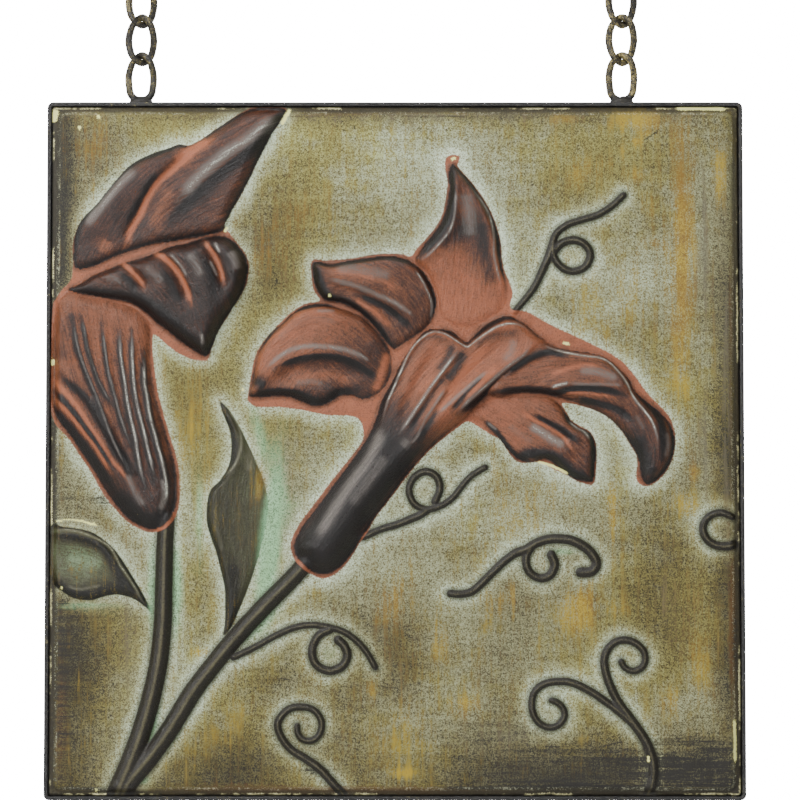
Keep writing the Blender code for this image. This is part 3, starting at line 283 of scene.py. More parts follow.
# Painted areas reach past the pressed edges
flowerPaint = {
    "bud": [(0.9, 70.2), (1.4, 71.5), (2.3, 72.9), (3.5, 74.2), (3.8, 76.5), (3.75, 79.1), (4.2, 81.3),
        (5.1, 83), (7, 85), (8.8, 87.2), (10.2, 89), (11.6, 90.5), (13, 91.5), (15.1, 92.5), (17.2, 93.2),
        (19, 93.8), (20.3, 93.7), (21.9, 94.4), (25.1, 96.6), (28.6, 98.9), (30, 99.3), (33.5, 99.3),
        (34.4, 98.8), (33.4, 96.9), (32.1, 94.8), (30.5, 91.7), (29.2, 88.9), (27.9, 86.4), (26.4, 83.8),
        (25.6, 82), (26.3, 81), (27.4, 79.6), (28.5, 78.2), (29.1, 76.5), (28.9, 74.2), (28, 72.1),
        (26.7, 70), (25.4, 68), (24.5, 66.3), (23.7, 64.2), (23.2, 62.8), (22, 62.7), (20.6, 63),
        (19.3, 63.6), (17.5, 64.8), (15.6, 66.4), (15.3, 64.9), (15.7, 60.8), (16.2, 57.7), (17, 54.8),
        (17.8, 52.1), (18.6, 49.5), (19.1, 47.4), (19.3, 44.3), (19.1, 41.7), (18.4, 39.8), (17.1, 38.5),
        (15.2, 38.1), (13.2, 38.7), (11.5, 39.9), (9.7, 41.8), (8.2, 43.8), (6.8, 46.3), (4.9, 49.2),
        (3.1, 51.8), (0.9, 54.8), (0.6, 62)],
    "lily": [(28.9, 57.4), (29.3, 60), (29.9, 63), (31, 65.2), (33, 67.6), (35.2, 69.7), (37.2, 70.9),
        (39.2, 71.3), (38.3, 72.8), (38, 75), (38.1, 77.1), (40, 77.1), (43, 77.3), (46, 77.8), (48.5, 78.1),
        (51, 78), (52.3, 77.7), (53.2, 78.9), (54.5, 80.3), (56, 82.2), (56.9, 84.2), (57.3, 86.3),
        (57.5, 88.3), (57.2, 90.3), (57.3, 91.8), (58.3, 92.3), (59.3, 92), (59, 90.9), (59.4, 90.2),
        (61.5, 87.8), (63.2, 85.2), (64.5, 82.5), (65.2, 79.5), (65.5, 76.5), (66.3, 74.2), (66.9, 72.3),
        (66.5, 70.6), (67, 69.9), (68.5, 69.8), (69.9, 69.2), (72.2, 67.9), (74.9, 66.6), (77.9, 65.2),
        (80.2, 64.1), (82.6, 62.5), (84.4, 60.4), (86.3, 57.8), (88.1, 56), (89.3, 54.6), (90, 52.7),
        (90.1, 50.6), (89.6, 48.3), (88.3, 46.2), (86.9, 45), (85.6, 44.7), (84.5, 45.7), (84.6, 48.6),
        (83.7, 50.4), (82.5, 52.4), (80.9, 54.1), (79.1, 55.3), (76.8, 56.1), (74, 56.6), (74.6, 55.2),
        (75.3, 54.1), (76.5, 53.3), (77.8, 52.6), (78.5, 51.5), (78.8, 49.9), (78.5, 45.2), (76.5, 45.2),
        (74.8, 46.1), (72.5, 47.2), (70.6, 48.1), (68, 48), (66.7, 48.9), (65.8, 50.2), (64.9, 51.4),
        (63.5, 52.2), (62.2, 53), (60.4, 53.9), (58.6, 52.8), (56.6, 51.2), (54.7, 49.5), (52.8, 47.4),
        (51, 45.1), (49.1, 42.6), (47.2, 40.1), (46.1, 38.2), (45, 36.6), (43.7, 34.4), (42.5, 32.9),
        (41.1, 31.9), (39.8, 31.5), (38.4, 31.9), (36.8, 33), (35.6, 34.4), (35.1, 36.1), (35.4, 37.6),
        (36.7, 39.8), (38.3, 41.9), (40.1, 44.4), (42.3, 47.2), (44.2, 49.6), (45.4, 51.4), (45.4, 53),
        (44.8, 54.3), (43.2, 54.8), (40.2, 54.9), (36.7, 55.6), (33.5, 56), (30.5, 56), (29.2, 56.7)],
}

# The bell's pleats, each with its dark stroke of glaze and painted shade beside it and its painted highlight
# line, as in the glaze table below
pleats = [
    ([(4, 69), (4.6, 65), (5.2, 63), (6.1, 60.5), (7.2, 58), (8.2, 55.5), (9.5, 52), (10.6, 49.5),
      (12, 47)], (0.95, 0.2, 0.55), (0.55, 0.17)),
    ([(5.2, 69), (5.6, 67), (6.1, 64.5), (6.7, 62.5), (7.5, 60.2), (8.6, 58),
      (9.7, 56.3)], (0.9, 0.18, 0.45), (0.5, 0.15)),
    ([(8.1, 68), (8.5, 65), (9, 61.5), (9.5, 59.5), (10.1, 57.5), (10.7, 55), (11.6, 52.5),
      (12.3, 50.5)], (0.9, 0.18, 0.45), (0.62, 0.17)),
    ([(10.6, 67), (10.9, 63), (11.3, 60.5), (11.8, 57), (12.3, 54.5), (13, 51.5), (13.4, 49), (13.9, 46.5),
      (14.5, 44.5)], (1, 0.24, 0.5), (0.9, 0.2)),
    ([(12.4, 67), (12.5, 63), (12.8, 59), (13.3, 56), (14.1, 53), (14.8, 50), (15.4, 47.5),
      (15.8, 45.5)], (1, 0.24, 0.48), (0.88, 0.2))]

# The dark glaze brushed over the terracotta of each figure, which also serves as painted shade on the steep
# walls, in the grooves and under the crests. "base" is its strength at two places, and "rim" its strength
# there and its width along the pressed edge. "strokes" are a path, the strength (negative where it is wiped
# off) and the reach to the left and right of the path. The highlight lists are the painted highlights and
# grey painted sheen along
# the crests: a path, the strength and the half width. The brush follows the "spine"
glazeShadeHighlights = {
    "budBackPetal": {
        "spine": [(6, 77), (10, 84), (16, 90), (24, 94), (33, 98.5)],
        "base": [(8, 84, 0.72), (24, 90, 0.6)], "rim": (0.45, 0.45, 0.35),
        "strokes": [
            ([(4.2, 79), (5.2, 83.5), (10, 89.6), (12, 91.3), (18, 93.2)], 0.7, 0.35, 0.35),
            ([(11.5, 82.3), (13.5, 85.5), (15, 88), (16.5, 89.5)], 0.5, 0.5, 0.3),
            ([(8, 78), (9, 80)], -0.4, 1.4, 1.4),
            ([(11.3, 79), (12.2, 81.5), (13.6, 84), (14.5, 86), (16, 88.3), (18, 90), (20, 92),
              (22, 93.8)], -1.1, 0.45, 0.45),
            ([(18.6, 90.8), (21, 93), (23.5, 94.4)], -0.8, 0.9, 0.9),
            ([(15, 81.2), (16.5, 84.5), (18, 87.5)], -0.25, 1.2, 1.2),
            ([(18, 83.4), (21, 86.4), (24, 89), (27, 91.4), (30, 93.9), (32, 95.4)], 0.6, 0.3, 1.2),
            ([(30.4, 94.5), (32, 96.4), (33.9, 98.5)], 0.7, 0.3, 0.5)],
        "paintedHighlight": [
            ([(5.4, 81.5), (8.5, 85.5), (11, 88.5), (13.4, 90.4)], 0.62, 0.75),
            ([(19, 85.5), (21, 88), (23, 90), (26, 92.5), (29, 94.5), (32, 97), (33.5, 98.4)], 0.68, 0.95)]},
    "budFlap": {
        "spine": [(12, 80), (17, 76), (21, 71), (23, 64)],
        "base": [(8, 74, 0.64), (24, 69, 0.82)], "rim": (0.25, 0.3, 0.4),
        "strokes": [
            ([(10.2, 77.4), (12, 75.8), (13.5, 74.2), (14.2, 73)], -1, 0.3, 0.4),
            ([(15, 78.5), (17.5, 77), (19.2, 75), (20.3, 72.8), (21, 70.5)], -1, 0.35, 0.5),
            ([(22.6, 80), (24, 78), (25, 76), (25.6, 73.5)], -1, 0.3, 0.45),
            ([(3.5, 72.7), (6, 72.3), (9, 71.9), (12, 71.4), (15, 70.4), (17, 69), (19.5, 66.5), (21.5, 65),
              (23, 64.2)], 0.6, 0.8, 0.8),
            ([(11, 75), (12.4, 74), (13.2, 72.6)], 0.35, 0.2, 0.8),
            ([(17, 75.5), (18.2, 73.6), (19.4, 71)], 0.35, 0.2, 0.8),
            ([(22.8, 77), (24, 74.6), (24.4, 71.6)], 0.35, 0.2, 0.7)],
        "paintedHighlight": [
            ([(8.4, 74.4), (10, 74.3), (11.2, 73.6)], 0.34, 0.7),
            ([(14, 76), (15.6, 75), (16.8, 73.4)], 0.36, 0.8),
            ([(17.7, 78), (19.5, 76), (20.3, 74.5)], 0.72, 0.22),
            ([(20.4, 78), (21.6, 76.4), (22.4, 74.4)], 0.42, 0.8), ([(23.5, 77), (24.7, 74.5)], 0.72, 0.2),
            ([(24.2, 79.6), (25, 78)], 0.85, 0.25), ([(26.4, 78.4), (27.2, 77), (27.5, 75.4)], 0.55, 0.7),
            ([(22.4, 66.4), (22.6, 64.8)], 0.8, 0.25)]},
    "budBell": {
        "spine": [(6, 71), (8, 62), (11, 53), (14.5, 45), (17, 39)],
        "base": [(9, 66, 0.3), (15, 43, 0.72)], "rim": (0, 0.25, 0.35),
        "strokes": [
            ([(2, 62), (2.6, 66), (3.6, 70)], 0.2, 1.4, 1.4),
            ([(2, 60.5), (4.5, 58.5), (6, 57), (7.5, 54.5), (9.5, 51.5), (11.5, 48.5),
              (12.5, 46.5)], 0.75, 0.5, 0.5),
            ([(1.2, 58.3), (3.5, 56), (6, 52.8), (8, 50), (10, 47.2)], 0.75, 0.35, 0.35),
            ([(1, 56), (3, 53.6), (5.5, 50.5), (8, 47), (9.5, 44.5)], 0.9, 0.5, 0.5),
            ([(1, 60), (2.2, 58.8), (4.3, 56.5), (6, 54), (8, 51), (9.5, 48.5), (11, 46.8),
              (12.3, 45)], -0.8, 0.3, 0.3),
            ([(1.5, 57), (3.5, 55), (5.5, 52.5), (7.5, 50), (9.5, 46.5)], -0.8, 0.28, 0.28),
            *[(path, *dark) for path, dark, pleatHighlight in pleats],
            ([(14.2, 64), (14.2, 60), (14.6, 57.5), (15.1, 54.5), (15.9, 51.5), (16.6, 49), (17.2, 46.5),
              (17.5, 44), (17.3, 42.5)], 1, 0.3, 0.48),
            ([(9.7, 44), (11.5, 42), (13.5, 40.2), (16, 39.6), (18, 41.5)], 0.5, 1.2, 0.6)],
        "paintedHighlight": [
            *[(path, *pleatHighlight) for path, dark, pleatHighlight in pleats],
            ([(14.2, 64), (14.2, 60), (14.6, 57.5), (15.1, 54.5), (15.9, 51.5), (16.6, 49), (17.2, 46.5),
              (17.5, 44), (17.3, 42.5), (16.6, 40.8)], 0.92, 0.22),
            ([(11.8, 46.6), (12.8, 44.2), (14.4, 41.6)], 0.42, 0.6),
            ([(16.9, 46), (17.2, 43.5), (16.6, 41)], 0.62, 0.5)]},
    "lowLeftPetal": {
        "spine": [(30, 58), (34, 64), (40, 67), (48, 61)],
        "base": [(36, 68, 0.12), (42, 60, 0.64)], "rim": (0.4, 0.3, 0.35),
        "strokes": [
            ([(30, 64), (33, 67.5), (35, 69.5), (37.5, 70.4), (40, 70.7), (42, 70.3)], 0.7, 0.3, 0.35),
            ([(33, 61.7), (36, 63), (40, 63.5), (43.5, 62.9), (46, 61.5), (47.5, 60.2)], 0.85, 0.08, 0.75),
            ([(35, 59.6), (38, 60.4), (41, 60.4), (44, 59.6)], -0.3, 0.8, 0.8),
            ([(29.5, 57.6), (33, 58.2), (36, 57.9), (38.5, 56.9), (40, 56.8), (42, 58.1),
              (44.5, 58.4)], 0.9, 0.42, 0.42),
            ([(30, 60), (31.5, 58.8)], 0.6, 0.8, 0.8), ([(47, 58), (48, 61), (49, 64)], -0.7, 0.5, 0.8)],
        "paintedHighlight": [
            ([(31, 61), (34, 63.5), (37, 64.6), (41, 64.5), (44, 63.8), (46, 62.5)], 0.6, 0.42),
            ([(36.3, 64.5), (38.4, 64.7)], 0.45, 0.25), ([(44.4, 63.8), (46.3, 62.6)], 0.6, 0.28),
            ([(35.5, 59.4), (38, 59.6), (40, 59.2)], 0.36, 0.6), ([(38.6, 69.7), (41.6, 69.8)], 0.5, 0.3),
            ([(32.6, 65), (35.4, 67.6), (38.4, 68.6), (42.4, 68)], 0.24, 0.8)]},
    "upperLeftPetal": {
        "spine": [(39, 74), (45, 74), (50, 71), (53, 66)],
        "base": [(43, 75, 0.46), (51, 69, 0.55)], "rim": (0.35, 0.2, 0.3),
        "strokes": [
            ([(38.5, 76.8), (38.9, 74.5), (39.7, 72.5), (41, 71.3), (43, 70.8), (45, 69.5), (47, 67.5),
              (49.5, 64.6)], 1, 0.65, 0.6),
            ([(38.6, 76.8), (41, 76.4), (45, 77), (48, 77.4), (50.5, 77.2), (52.5, 76.3)], 0.7, 0.3, 0.3),
            ([(40.6, 75.3), (44, 75), (48, 74), (51.5, 72.2)], -0.3, 0.5, 0.5),
            ([(45, 72.1), (48.5, 70.6), (50.5, 69.2), (52.3, 67.6)], 0.7, 0.15, 0.55),
            ([(44, 71.5), (47, 69.7), (49.5, 67.4)], -0.5, 0.4, 0.4),
            ([(53.4, 76.1), (54.9, 73.8), (55.8, 71), (55.6, 68.5)], 0.8, 0.35, 0.3)],
        "paintedHighlight": [
            ([(52.8, 75.8), (54.2, 73.5), (55.2, 71), (55.1, 68.5)], 0.9, 0.16),
            ([(40, 74.4), (44, 73.4), (47.5, 72), (50.5, 70.6), (52.5, 69)], 0.62, 0.38),
            ([(50.6, 70.6), (52.4, 69.2)], 0.6, 0.3), ([(41, 75.6), (45, 75.6), (50, 74.6)], 0.4, 1)]},
    "topPetal": {
        "spine": [(58.5, 91), (61, 84), (61, 77), (60, 68)],
        "base": [(60, 83, 0.55), (60.5, 73.5, 0.06)], "rim": (0.4, 0, 0.3),
        "strokes": [
            ([(58.1, 90.8), (58.1, 88), (58.2, 85), (57.8, 83), (56.5, 81), (55, 79),
              (53.5, 77.5)], 1, 0.4, 0.75),
            ([(58.6, 90.6), (60.5, 88.8), (63, 85), (64.6, 81.5), (65, 78), (65.6, 75),
              (66, 73)], 0.95, 0.35, 0.3),
            ([(62.4, 83), (63.2, 78), (63.8, 75), (64.4, 73)], 0.5, 0.6, 1.6),
            ([(56, 79.5), (58.5, 80.5), (61, 82)], 0.3, 1.2, 1.2),
            ([(58.4, 84), (60.4, 80), (61.4, 75)], 0.16, 0.8, 0.8)],
        "paintedHighlight": [
            ([(58.8, 87.5), (58.7, 85.5), (58.5, 83.4), (57.9, 81.4), (56.7, 79.8), (55, 78),
              (53.5, 76.9)], 0.86, 0.17),
            ([(61, 87.4), (62.4, 85.6), (63.5, 83.6), (64.1, 81), (64.2, 78), (64.8, 75),
              (65.5, 73)], 0.85, 0.17),
            ([(60, 87), (60.6, 83.5), (60.7, 80)], 0.42, 1.3)]},
    "trumpet": {
        "spine": [(37, 34), (44, 44), (51, 53), (57, 60), (64, 66)],
        "base": [(48, 51, 1.05), (54, 58, 0.16)], "rim": (0.35, 0.2, 0.35),
        "strokes": [
            ([(46.5, 52), (47.5, 55), (48.6, 57.5), (49.8, 60), (51, 63), (52.5, 65.5), (55, 67.3),
              (57, 67.2), (59, 66), (60.3, 65.2)], 0.9, 0.5, 0.4),
            ([(60.4, 65.2), (62, 66.8), (64.5, 68.3), (66.5, 69), (68.5, 68.5), (70.5, 66.8),
              (72, 65.6)], 0.9, 0.6, 0.55),
            ([(49.5, 58), (51.4, 62), (53.6, 65.3), (56, 66.2), (58.5, 65)], 0.35, 0.1, 0.9),
            ([(58.3, 65), (57.5, 63), (56, 61)], 0.5, 0.6, 0.6),
            ([(60, 64), (58.6, 61.4), (57.3, 59.5)], 0.7, 0.7, 0.7),
            ([(57.2, 60.6), (55.4, 57.9), (53.6, 55), (52, 52.4)], 0.5, 0.35, 0.35),
            ([(58.2, 58.9), (56.9, 57), (55.8, 55.1), (54.6, 53.1), (53.4, 51.2)], 0.65, 0.35, 0.35),
            ([(62.5, 60.4), (60, 57.7), (58, 55.4)], 0.8, 0.4, 0.3),
            ([(70, 63.7), (68, 62.2), (66, 60.7), (64, 59), (62, 57.2), (60, 55.7),
              (59, 54.9)], 1, 0.5, 0.42),
            ([(61, 64.6), (64, 66.2), (68, 66.9)], 0.35, 0.4, 0.9),
            ([(63, 64.5), (60.5, 61.5), (58.5, 59), (56.5, 56), (55.5, 54.5)], -0.7, 0.45, 0.45),
            ([(64.5, 61.6), (62, 59.2), (60, 57.2)], -0.6, 0.3, 0.3),
            ([(36.5, 37.5), (38, 40.6), (40, 43.8), (44, 49.3), (46, 52.5)], -0.42, 0.6, 0.7),
            ([(44.2, 36.5), (47.6, 41.4), (51, 46), (55, 50.4)], -0.45, 0.35, 0.35)],
        "paintedHighlight": [
            ([(48, 53), (48.7, 56), (49.3, 57.6), (50.2, 59.6), (51, 61.5), (52, 63.7), (53.2, 65.3),
              (55.2, 66.7), (57, 66.5), (58.5, 65.6), (59.8, 64.8), (60.4, 64.6), (61.5, 65.4), (63, 66.5),
              (65, 67.6), (67, 67.9), (68.5, 67.4), (70, 66)], 0.92, 0.17),
            ([(59, 64), (57.5, 62), (56, 60), (54.8, 58.3), (53.3, 56), (51.8, 53.8),
              (50.5, 52)], 0.82, 0.26),
            ([(57.5, 59), (56.5, 57.5), (55.2, 55.5), (54, 53.5), (53, 51.5), (51.5, 50.2)], 0.66, 0.22),
            ([(63.5, 61.3), (61.5, 59.7), (59.5, 58), (57.5, 56.2), (56, 54.8)], 0.62, 0.3),
            ([(69.5, 65), (68.5, 63.5), (66.5, 62), (65, 60.8), (63, 59), (61.5, 57.7), (60, 56.3),
              (59, 55)], 0.72, 0.3),
            ([(67, 65.8), (66.6, 64), (65.4, 62.4)], 0.42, 0.8),
            ([(38.5, 36.5), (40, 39), (42, 42.3), (44, 45.3), (46, 48), (47.5, 51), (48.3, 54)], 0.58, 0.95),
            ([(43.4, 41.4), (46, 45), (49, 49.4)], 0.36, 1.1), ([(51, 50.2), (52, 51.2)], 0.4, 0.9)]},
    "droopingPetal": {
        "spine": [(66, 60), (74, 61.5), (80, 60.5), (84.5, 56), (87, 50), (86, 45.5)],
        "base": [(73, 62, 0.36), (85, 50, 0.62)], "rim": (0.1, 0.35, 0.3),
        "strokes": [
            ([(71, 65.8), (74, 64.5), (77, 64.2), (80, 63.5), (82, 62), (83.8, 60), (85, 57.8), (86.5, 56),
              (87.8, 54), (88.2, 51), (88, 48.5)], 0.9, 0.45, 0.3),
            ([(66, 60.8), (69, 62.8), (72, 63.8), (74.5, 63.3)], 0.95, 0.4, 0.4),
            ([(72, 60.5), (76, 61.8), (79, 61.8)], -0.5, 0.35, 0.35),
            ([(64, 58), (68, 58.5), (71.5, 58.3), (73, 58), (76, 58.6), (80, 58.4),
              (83, 57.6)], 1, 0.36, 0.36),
            ([(74, 57.9), (77, 58), (81, 57.4)], -0.7, 0.16, 0.16),
            ([(76, 57.2), (79, 56.6), (82, 55.6), (84, 54)], 0.85, 0.3, 0.45),
            ([(84.4, 52), (85.4, 49), (86.4, 46)], 0.6, 1, 1),
            ([(89.8, 53), (90, 50), (89, 47.5), (87.5, 45.6)], 0.8, 0.2, 0.3)],
        "paintedHighlight": [
            ([(70.5, 65.3), (72, 64.5), (74, 63.9), (77, 63.3), (79, 63.1), (80.5, 62.5), (82, 61),
              (83.2, 59.3), (84, 57.5), (85.5, 55.5), (86.6, 54), (87.3, 52), (87.4, 50)], 0.92, 0.2),
            ([(76, 61.2), (79, 61), (82, 59.8)], 0.5, 0.75),
            ([(72.3, 58.7), (73.4, 59.1), (74.8, 59.4)], 0.92, 0.25),
            ([(74.6, 59.3), (77.6, 59.2), (80, 59.2), (82.8, 59)], 0.5, 0.3),
            ([(88.8, 52.6), (89, 50.6), (88.6, 48.6)], 0.42, 0.4), ([(84.4, 55), (85.6, 52.6)], 0.3, 0.5)]},
    "lowerPetal": {
        "spine": [(64, 56), (70, 53), (74, 50.5), (78, 46)],
        "base": [(65, 56, 0.16), (77, 48, 0.58)], "rim": (0, 0.4, 0.3),
        "strokes": [
            ([(62.5, 54.2), (64.5, 52.5), (66, 50.5), (67.5, 48.8), (69, 48.4)], 0.9, 0.35, 0.35),
            ([(67, 49), (69.5, 49.3), (72, 49.2), (74, 47.8), (75.5, 46.5), (78, 45.5)], 0.85, 0.6, 0.6),
            ([(70, 54.8), (72.5, 53.5), (74.5, 52.3), (76, 51)], 0.95, 0.3, 0.35),
            ([(68, 55.2), (71.5, 53.3), (74, 51.6), (75.5, 49.6)], -0.6, 0.22, 0.22),
            ([(74.3, 55.3), (75, 54), (76.5, 53.2), (78, 52), (78.5, 50), (78.4, 46)], 0.8, 0.35, 0.35)],
        "paintedHighlight": [
            ([(69, 53.5), (71, 52.3), (72.5, 51.3), (74.5, 50.4)], 0.66, 0.75),
            ([(72.3, 51.6), (73.6, 50.5)], 0.6, 0.28),
            ([(74.8, 54), (76, 53), (77, 52.5), (77.8, 51.3)], 0.88, 0.17),
            ([(63.2, 53.8), (64.6, 52.7)], 0.55, 0.22), ([(66, 53.6), (68, 52), (70, 50.8)], 0.28, 0.7)]},
    "edgeLeaf": {
        "spine": [(1, 35), (6, 34), (11, 31), (15, 27)],
        "base": [(5, 34, 0.34), (12, 31, 0.66)], "rim": (0.5, 0.4, 0.4),
        "strokes": [
            ([(0.8, 39), (5, 38.9), (8, 37.8), (10.5, 35.5), (12, 33), (14, 29.5),
              (15.2, 27)], 0.9, 0.4, 0.4),
            ([(1, 37.7), (4.5, 37.5), (8, 36.3), (9.8, 34.2), (11.2, 31.6), (13.4, 28.8)], 0.9, 0.3, 0.8),
            ([(3, 34.4), (6, 34), (8.4, 33)], -0.4, 1.6, 1.6),
            ([(0.8, 31.8), (2.5, 30), (4.5, 29), (7, 28.9), (9, 29.5), (12, 29), (14.5, 27)], 1, 1.1, 0.6)],
        "paintedHighlight": [
            ([(1, 38.5), (4.5, 38.3), (7.5, 37.2), (9.5, 35.8), (10.8, 33.5), (12.5, 31),
              (14.5, 27.5)], 0.84, 0.18),
            ([(3, 30.6), (5, 30), (7, 30.3), (8.5, 30.7)], 0.5, 0.25)]},
    "tallLeaf": {
        "spine": [(25.5, 56), (28.5, 50), (28, 42), (28, 33), (26, 24)],
        "base": [(25.4, 40, 0.66), (31.4, 40, 0.4)], "rim": (0.25, 0, 0.3),
        "strokes": [
            ([(24.9, 56), (25.8, 54.5), (26.6, 52.5), (27, 50), (26.6, 48), (25.4, 46), (23.7, 44.2),
              (23.2, 42), (23.2, 39.5), (24, 37), (25, 33.5), (25.7, 30), (26, 26)], 0.9, 0.4, 0.4),
            ([(26.6, 24), (27, 28), (27, 34)], 0.5, 0.8, 0.8)],
        "paintedHighlight": [
            ([(25.8, 56), (27.3, 54), (28, 52), (28, 50), (27.2, 47.8), (25.5, 45.8)], 0.74, 0.2),
            ([(29.2, 46.4), (29.4, 50), (28.8, 53)], 0.46, 0.9),
            ([(24.4, 42), (24.6, 39), (25.6, 35)], 0.3, 0.4)]},
}

# Soft patches of colour on the ground: middle, half length, half width, turn in degrees, strength
patches = {
    "ochre": [(74, 97.5, 2.5, 0.8, 0, 0.7), (84.5, 97.3, 4.5, 1.6, 0, 0.95), (84.6, 94.3, 3.4, 0.5, 33, 0.9),
        (91.2, 79, 17, 1.6, 90, 1.05), (91, 66, 8, 1.6, 90, 0.75), (89, 72, 12, 0.7, 90, 0.7),
        (30.6, 44.6, 3, 0.8, 90, 1), (85, 89.3, 1.5, 1, 0, 0.7), (77.5, 90, 3, 2, 30, 0.6),
        (87.5, 79.5, 2, 0.8, 0, 0.5), (81, 41, 5, 1.2, 90, 0.6), (76.3, 27, 3.6, 2.4, 70, 1),
        (82, 27.5, 1.2, 1.5, 90, 0.7), (91.5, 42, 2, 2, 90, 0.6), (93, 46.5, 1.5, 1.2, 90, 0.6),
        (91.5, 59.5, 3, 1, 90, 0.8), (50, 28, 4, 2.4, 70, 0.55), (46.5, 15.5, 1.5, 1, 90, 0.6),
        (56, 22, 4, 1.4, 90, 0.5), (60, 13.5, 2.4, 1.4, 20, 0.6), (65.5, 28.5, 2.8, 2, 30, 0.55),
        (50, 8, 6, 4, 60, 0.4), (51, 4, 2.4, 1, 0, 0.85), (77, 8.5, 1.5, 0.6, 0, 0.7),
        (89, 14.5, 2.5, 1.2, 90, 0.7), (93.5, 19.5, 4.5, 1.4, 90, 0.7), (8, 20, 5, 1.2, 90, 0.15),
        (26, 10, 6, 2, 40, 0.4), (22.5, 21, 1, 0.8, 0, 0.8), (7, 94, 4, 3, 60, 0.4), (32, 79, 5, 2, 70, 0.5),
        (36.5, 84, 4, 2.4, 40, 0.35), (21, 53.5, 8, 2.4, 90, 0.45), (96.7, 89.5, 5.5, 1, 90, 0.7),
        (4.4, 16, 12, 1.2, 90, 0.1), (86.4, 86.5, 3, 0.25, 84, 0.9), (80, 68, 8, 5, 60, 0.3),
        (66, 40, 6, 4, 40, 0.25)],
    "soot": [(92, 3.4, 15, 5, 0, 1.15), (98, 3, 5, 5, 0, 0.9), (2.4, 14, 15, 2.2, 90, 0.6),
        (64, 9, 12, 2, 0, 0.4), (98, 1.5, 4, 2.5, 0, 1.8), (76, 2, 13, 1.9, 0, 1), (73, 6, 8, 1.8, 0, 0.65),
        (60, 6, 2.4, 1, 0, 0.45), (67, 5, 3.4, 2.6, 0, 0.4), (61, 1.7, 6, 0.7, 0, 0.85),
        (39, 4, 3.4, 1, 0, 0.65), (8, 42.5, 2.4, 1.4, 0, 0.55), (1.1, 50, 60, 0.8, 90, 1.3),
        (2.6, 18, 20, 1.8, 90, 0.6), (7, 1, 7.5, 0.9, 0, 1.1), (98.5, 22.5, 5, 0.45, 90, 0.9),
        (50, 98.2, 46, 0.6, 0, 0.4), (84, 1.4, 14, 0.8, 0, 0.8), (3.4, 43, 2, 1.4, 90, 0.45),
        (88, 5, 3, 2, 90, 0.5)],
    "grey": [(94.2, 79, 14, 0.8, 90, 0.85), (94.2, 50, 11, 0.8, 90, 0.75), (93.5, 25, 3, 0.5, 90, 0.8),
        (12, 20, 14, 1.6, 90, 0.5), (97.4, 62, 30, 1.2, 90, 0.55), (50, 97.6, 40, 0.9, 0, 0.5),
        (88.6, 30, 9, 1, 90, 0.4), (68, 9, 10, 2, 0, 0.45), (3, 64, 8, 1.4, 90, 0.4)],
    "brown": [(98.2, 25, 12, 0.7, 90, 0.9), (42, 1.4, 28, 0.7, 0, 1), (98.2, 70, 22, 0.5, 90, 0.6),
        (28, 1.8, 10, 0.8, 0, 0.6), (2.4, 12, 12, 1.2, 90, 0.6), (47, 98.3, 40, 0.5, 0, 0.5)],
    "pale": [(46, 91, 24, 7, 0, 0.9), (84, 77, 6, 5, 90, 0.6), (20, 95, 10, 2.5, 10, 0.6),
        (40, 46, 9, 6, 60, 0.4), (8, 46, 5, 2, 60, 0.4), (62, 38, 12, 5, 0, 0.35), (70, 80, 8, 6, 60, 0.45),
        (28, 64, 4, 8, 0, 0.35), (44, 32, 6, 4, 0, 0.35), (20, 25, 1.6, 6, 0, 0.6)],
    "dim": [(3.5, 17, 26, 6, 90, 0.95), (7, 93, 6, 4, 50, 0.5), (30, 77, 8, 3, 70, 0.5),
        (24, 4, 20, 6, 12, 0.7), (78, 3, 28, 6, 0, 1.2), (98, 40, 60, 2.6, 90, 0.8),
        (2, 78, 26, 2.6, 90, 1.6), (52, 98.6, 52, 1.4, 0, 0.7), (20, 53, 9, 3.5, 90, 0.35),
        (28, 71, 9, 3, 80, 0.25), (50, 20, 12, 7, 60, 0.4), (66, 28, 14, 7, 20, 0.35),
        (33, 85, 9, 6, 40, 0.25), (88, 34, 14, 5, 80, 0.4), (34, 18, 6, 4, 30, 0.4), (94, 4, 8, 6, 0, 1)],
    "green": [(15.5, 10, 3.6, 0.8, 75, 0.9), (18.6, 9.5, 3.4, 0.8, 60, 0.7), (14, 3, 1.2, 0.8, 0, 0.7),
        (15.4, 30, 8, 0.8, 90, 0.8), (18.8, 30, 8, 0.9, 90, 0.9), (31, 25.5, 5, 1.4, 50, 0.8),
        (32.2, 37, 13, 1.5, 84, 1.25), (30.8, 51.5, 6, 1.2, 104, 0.7), (22, 40, 8, 0.8, 90, 0.6),
        (74, 35.4, 2.4, 0.7, 0, 0.6), (6, 27.6, 6, 0.7, 0, 0.6), (40.6, 21, 1.6, 1.4, 0, 0.4),
        (34, 40, 5, 1.6, 60, 0.5)],
}

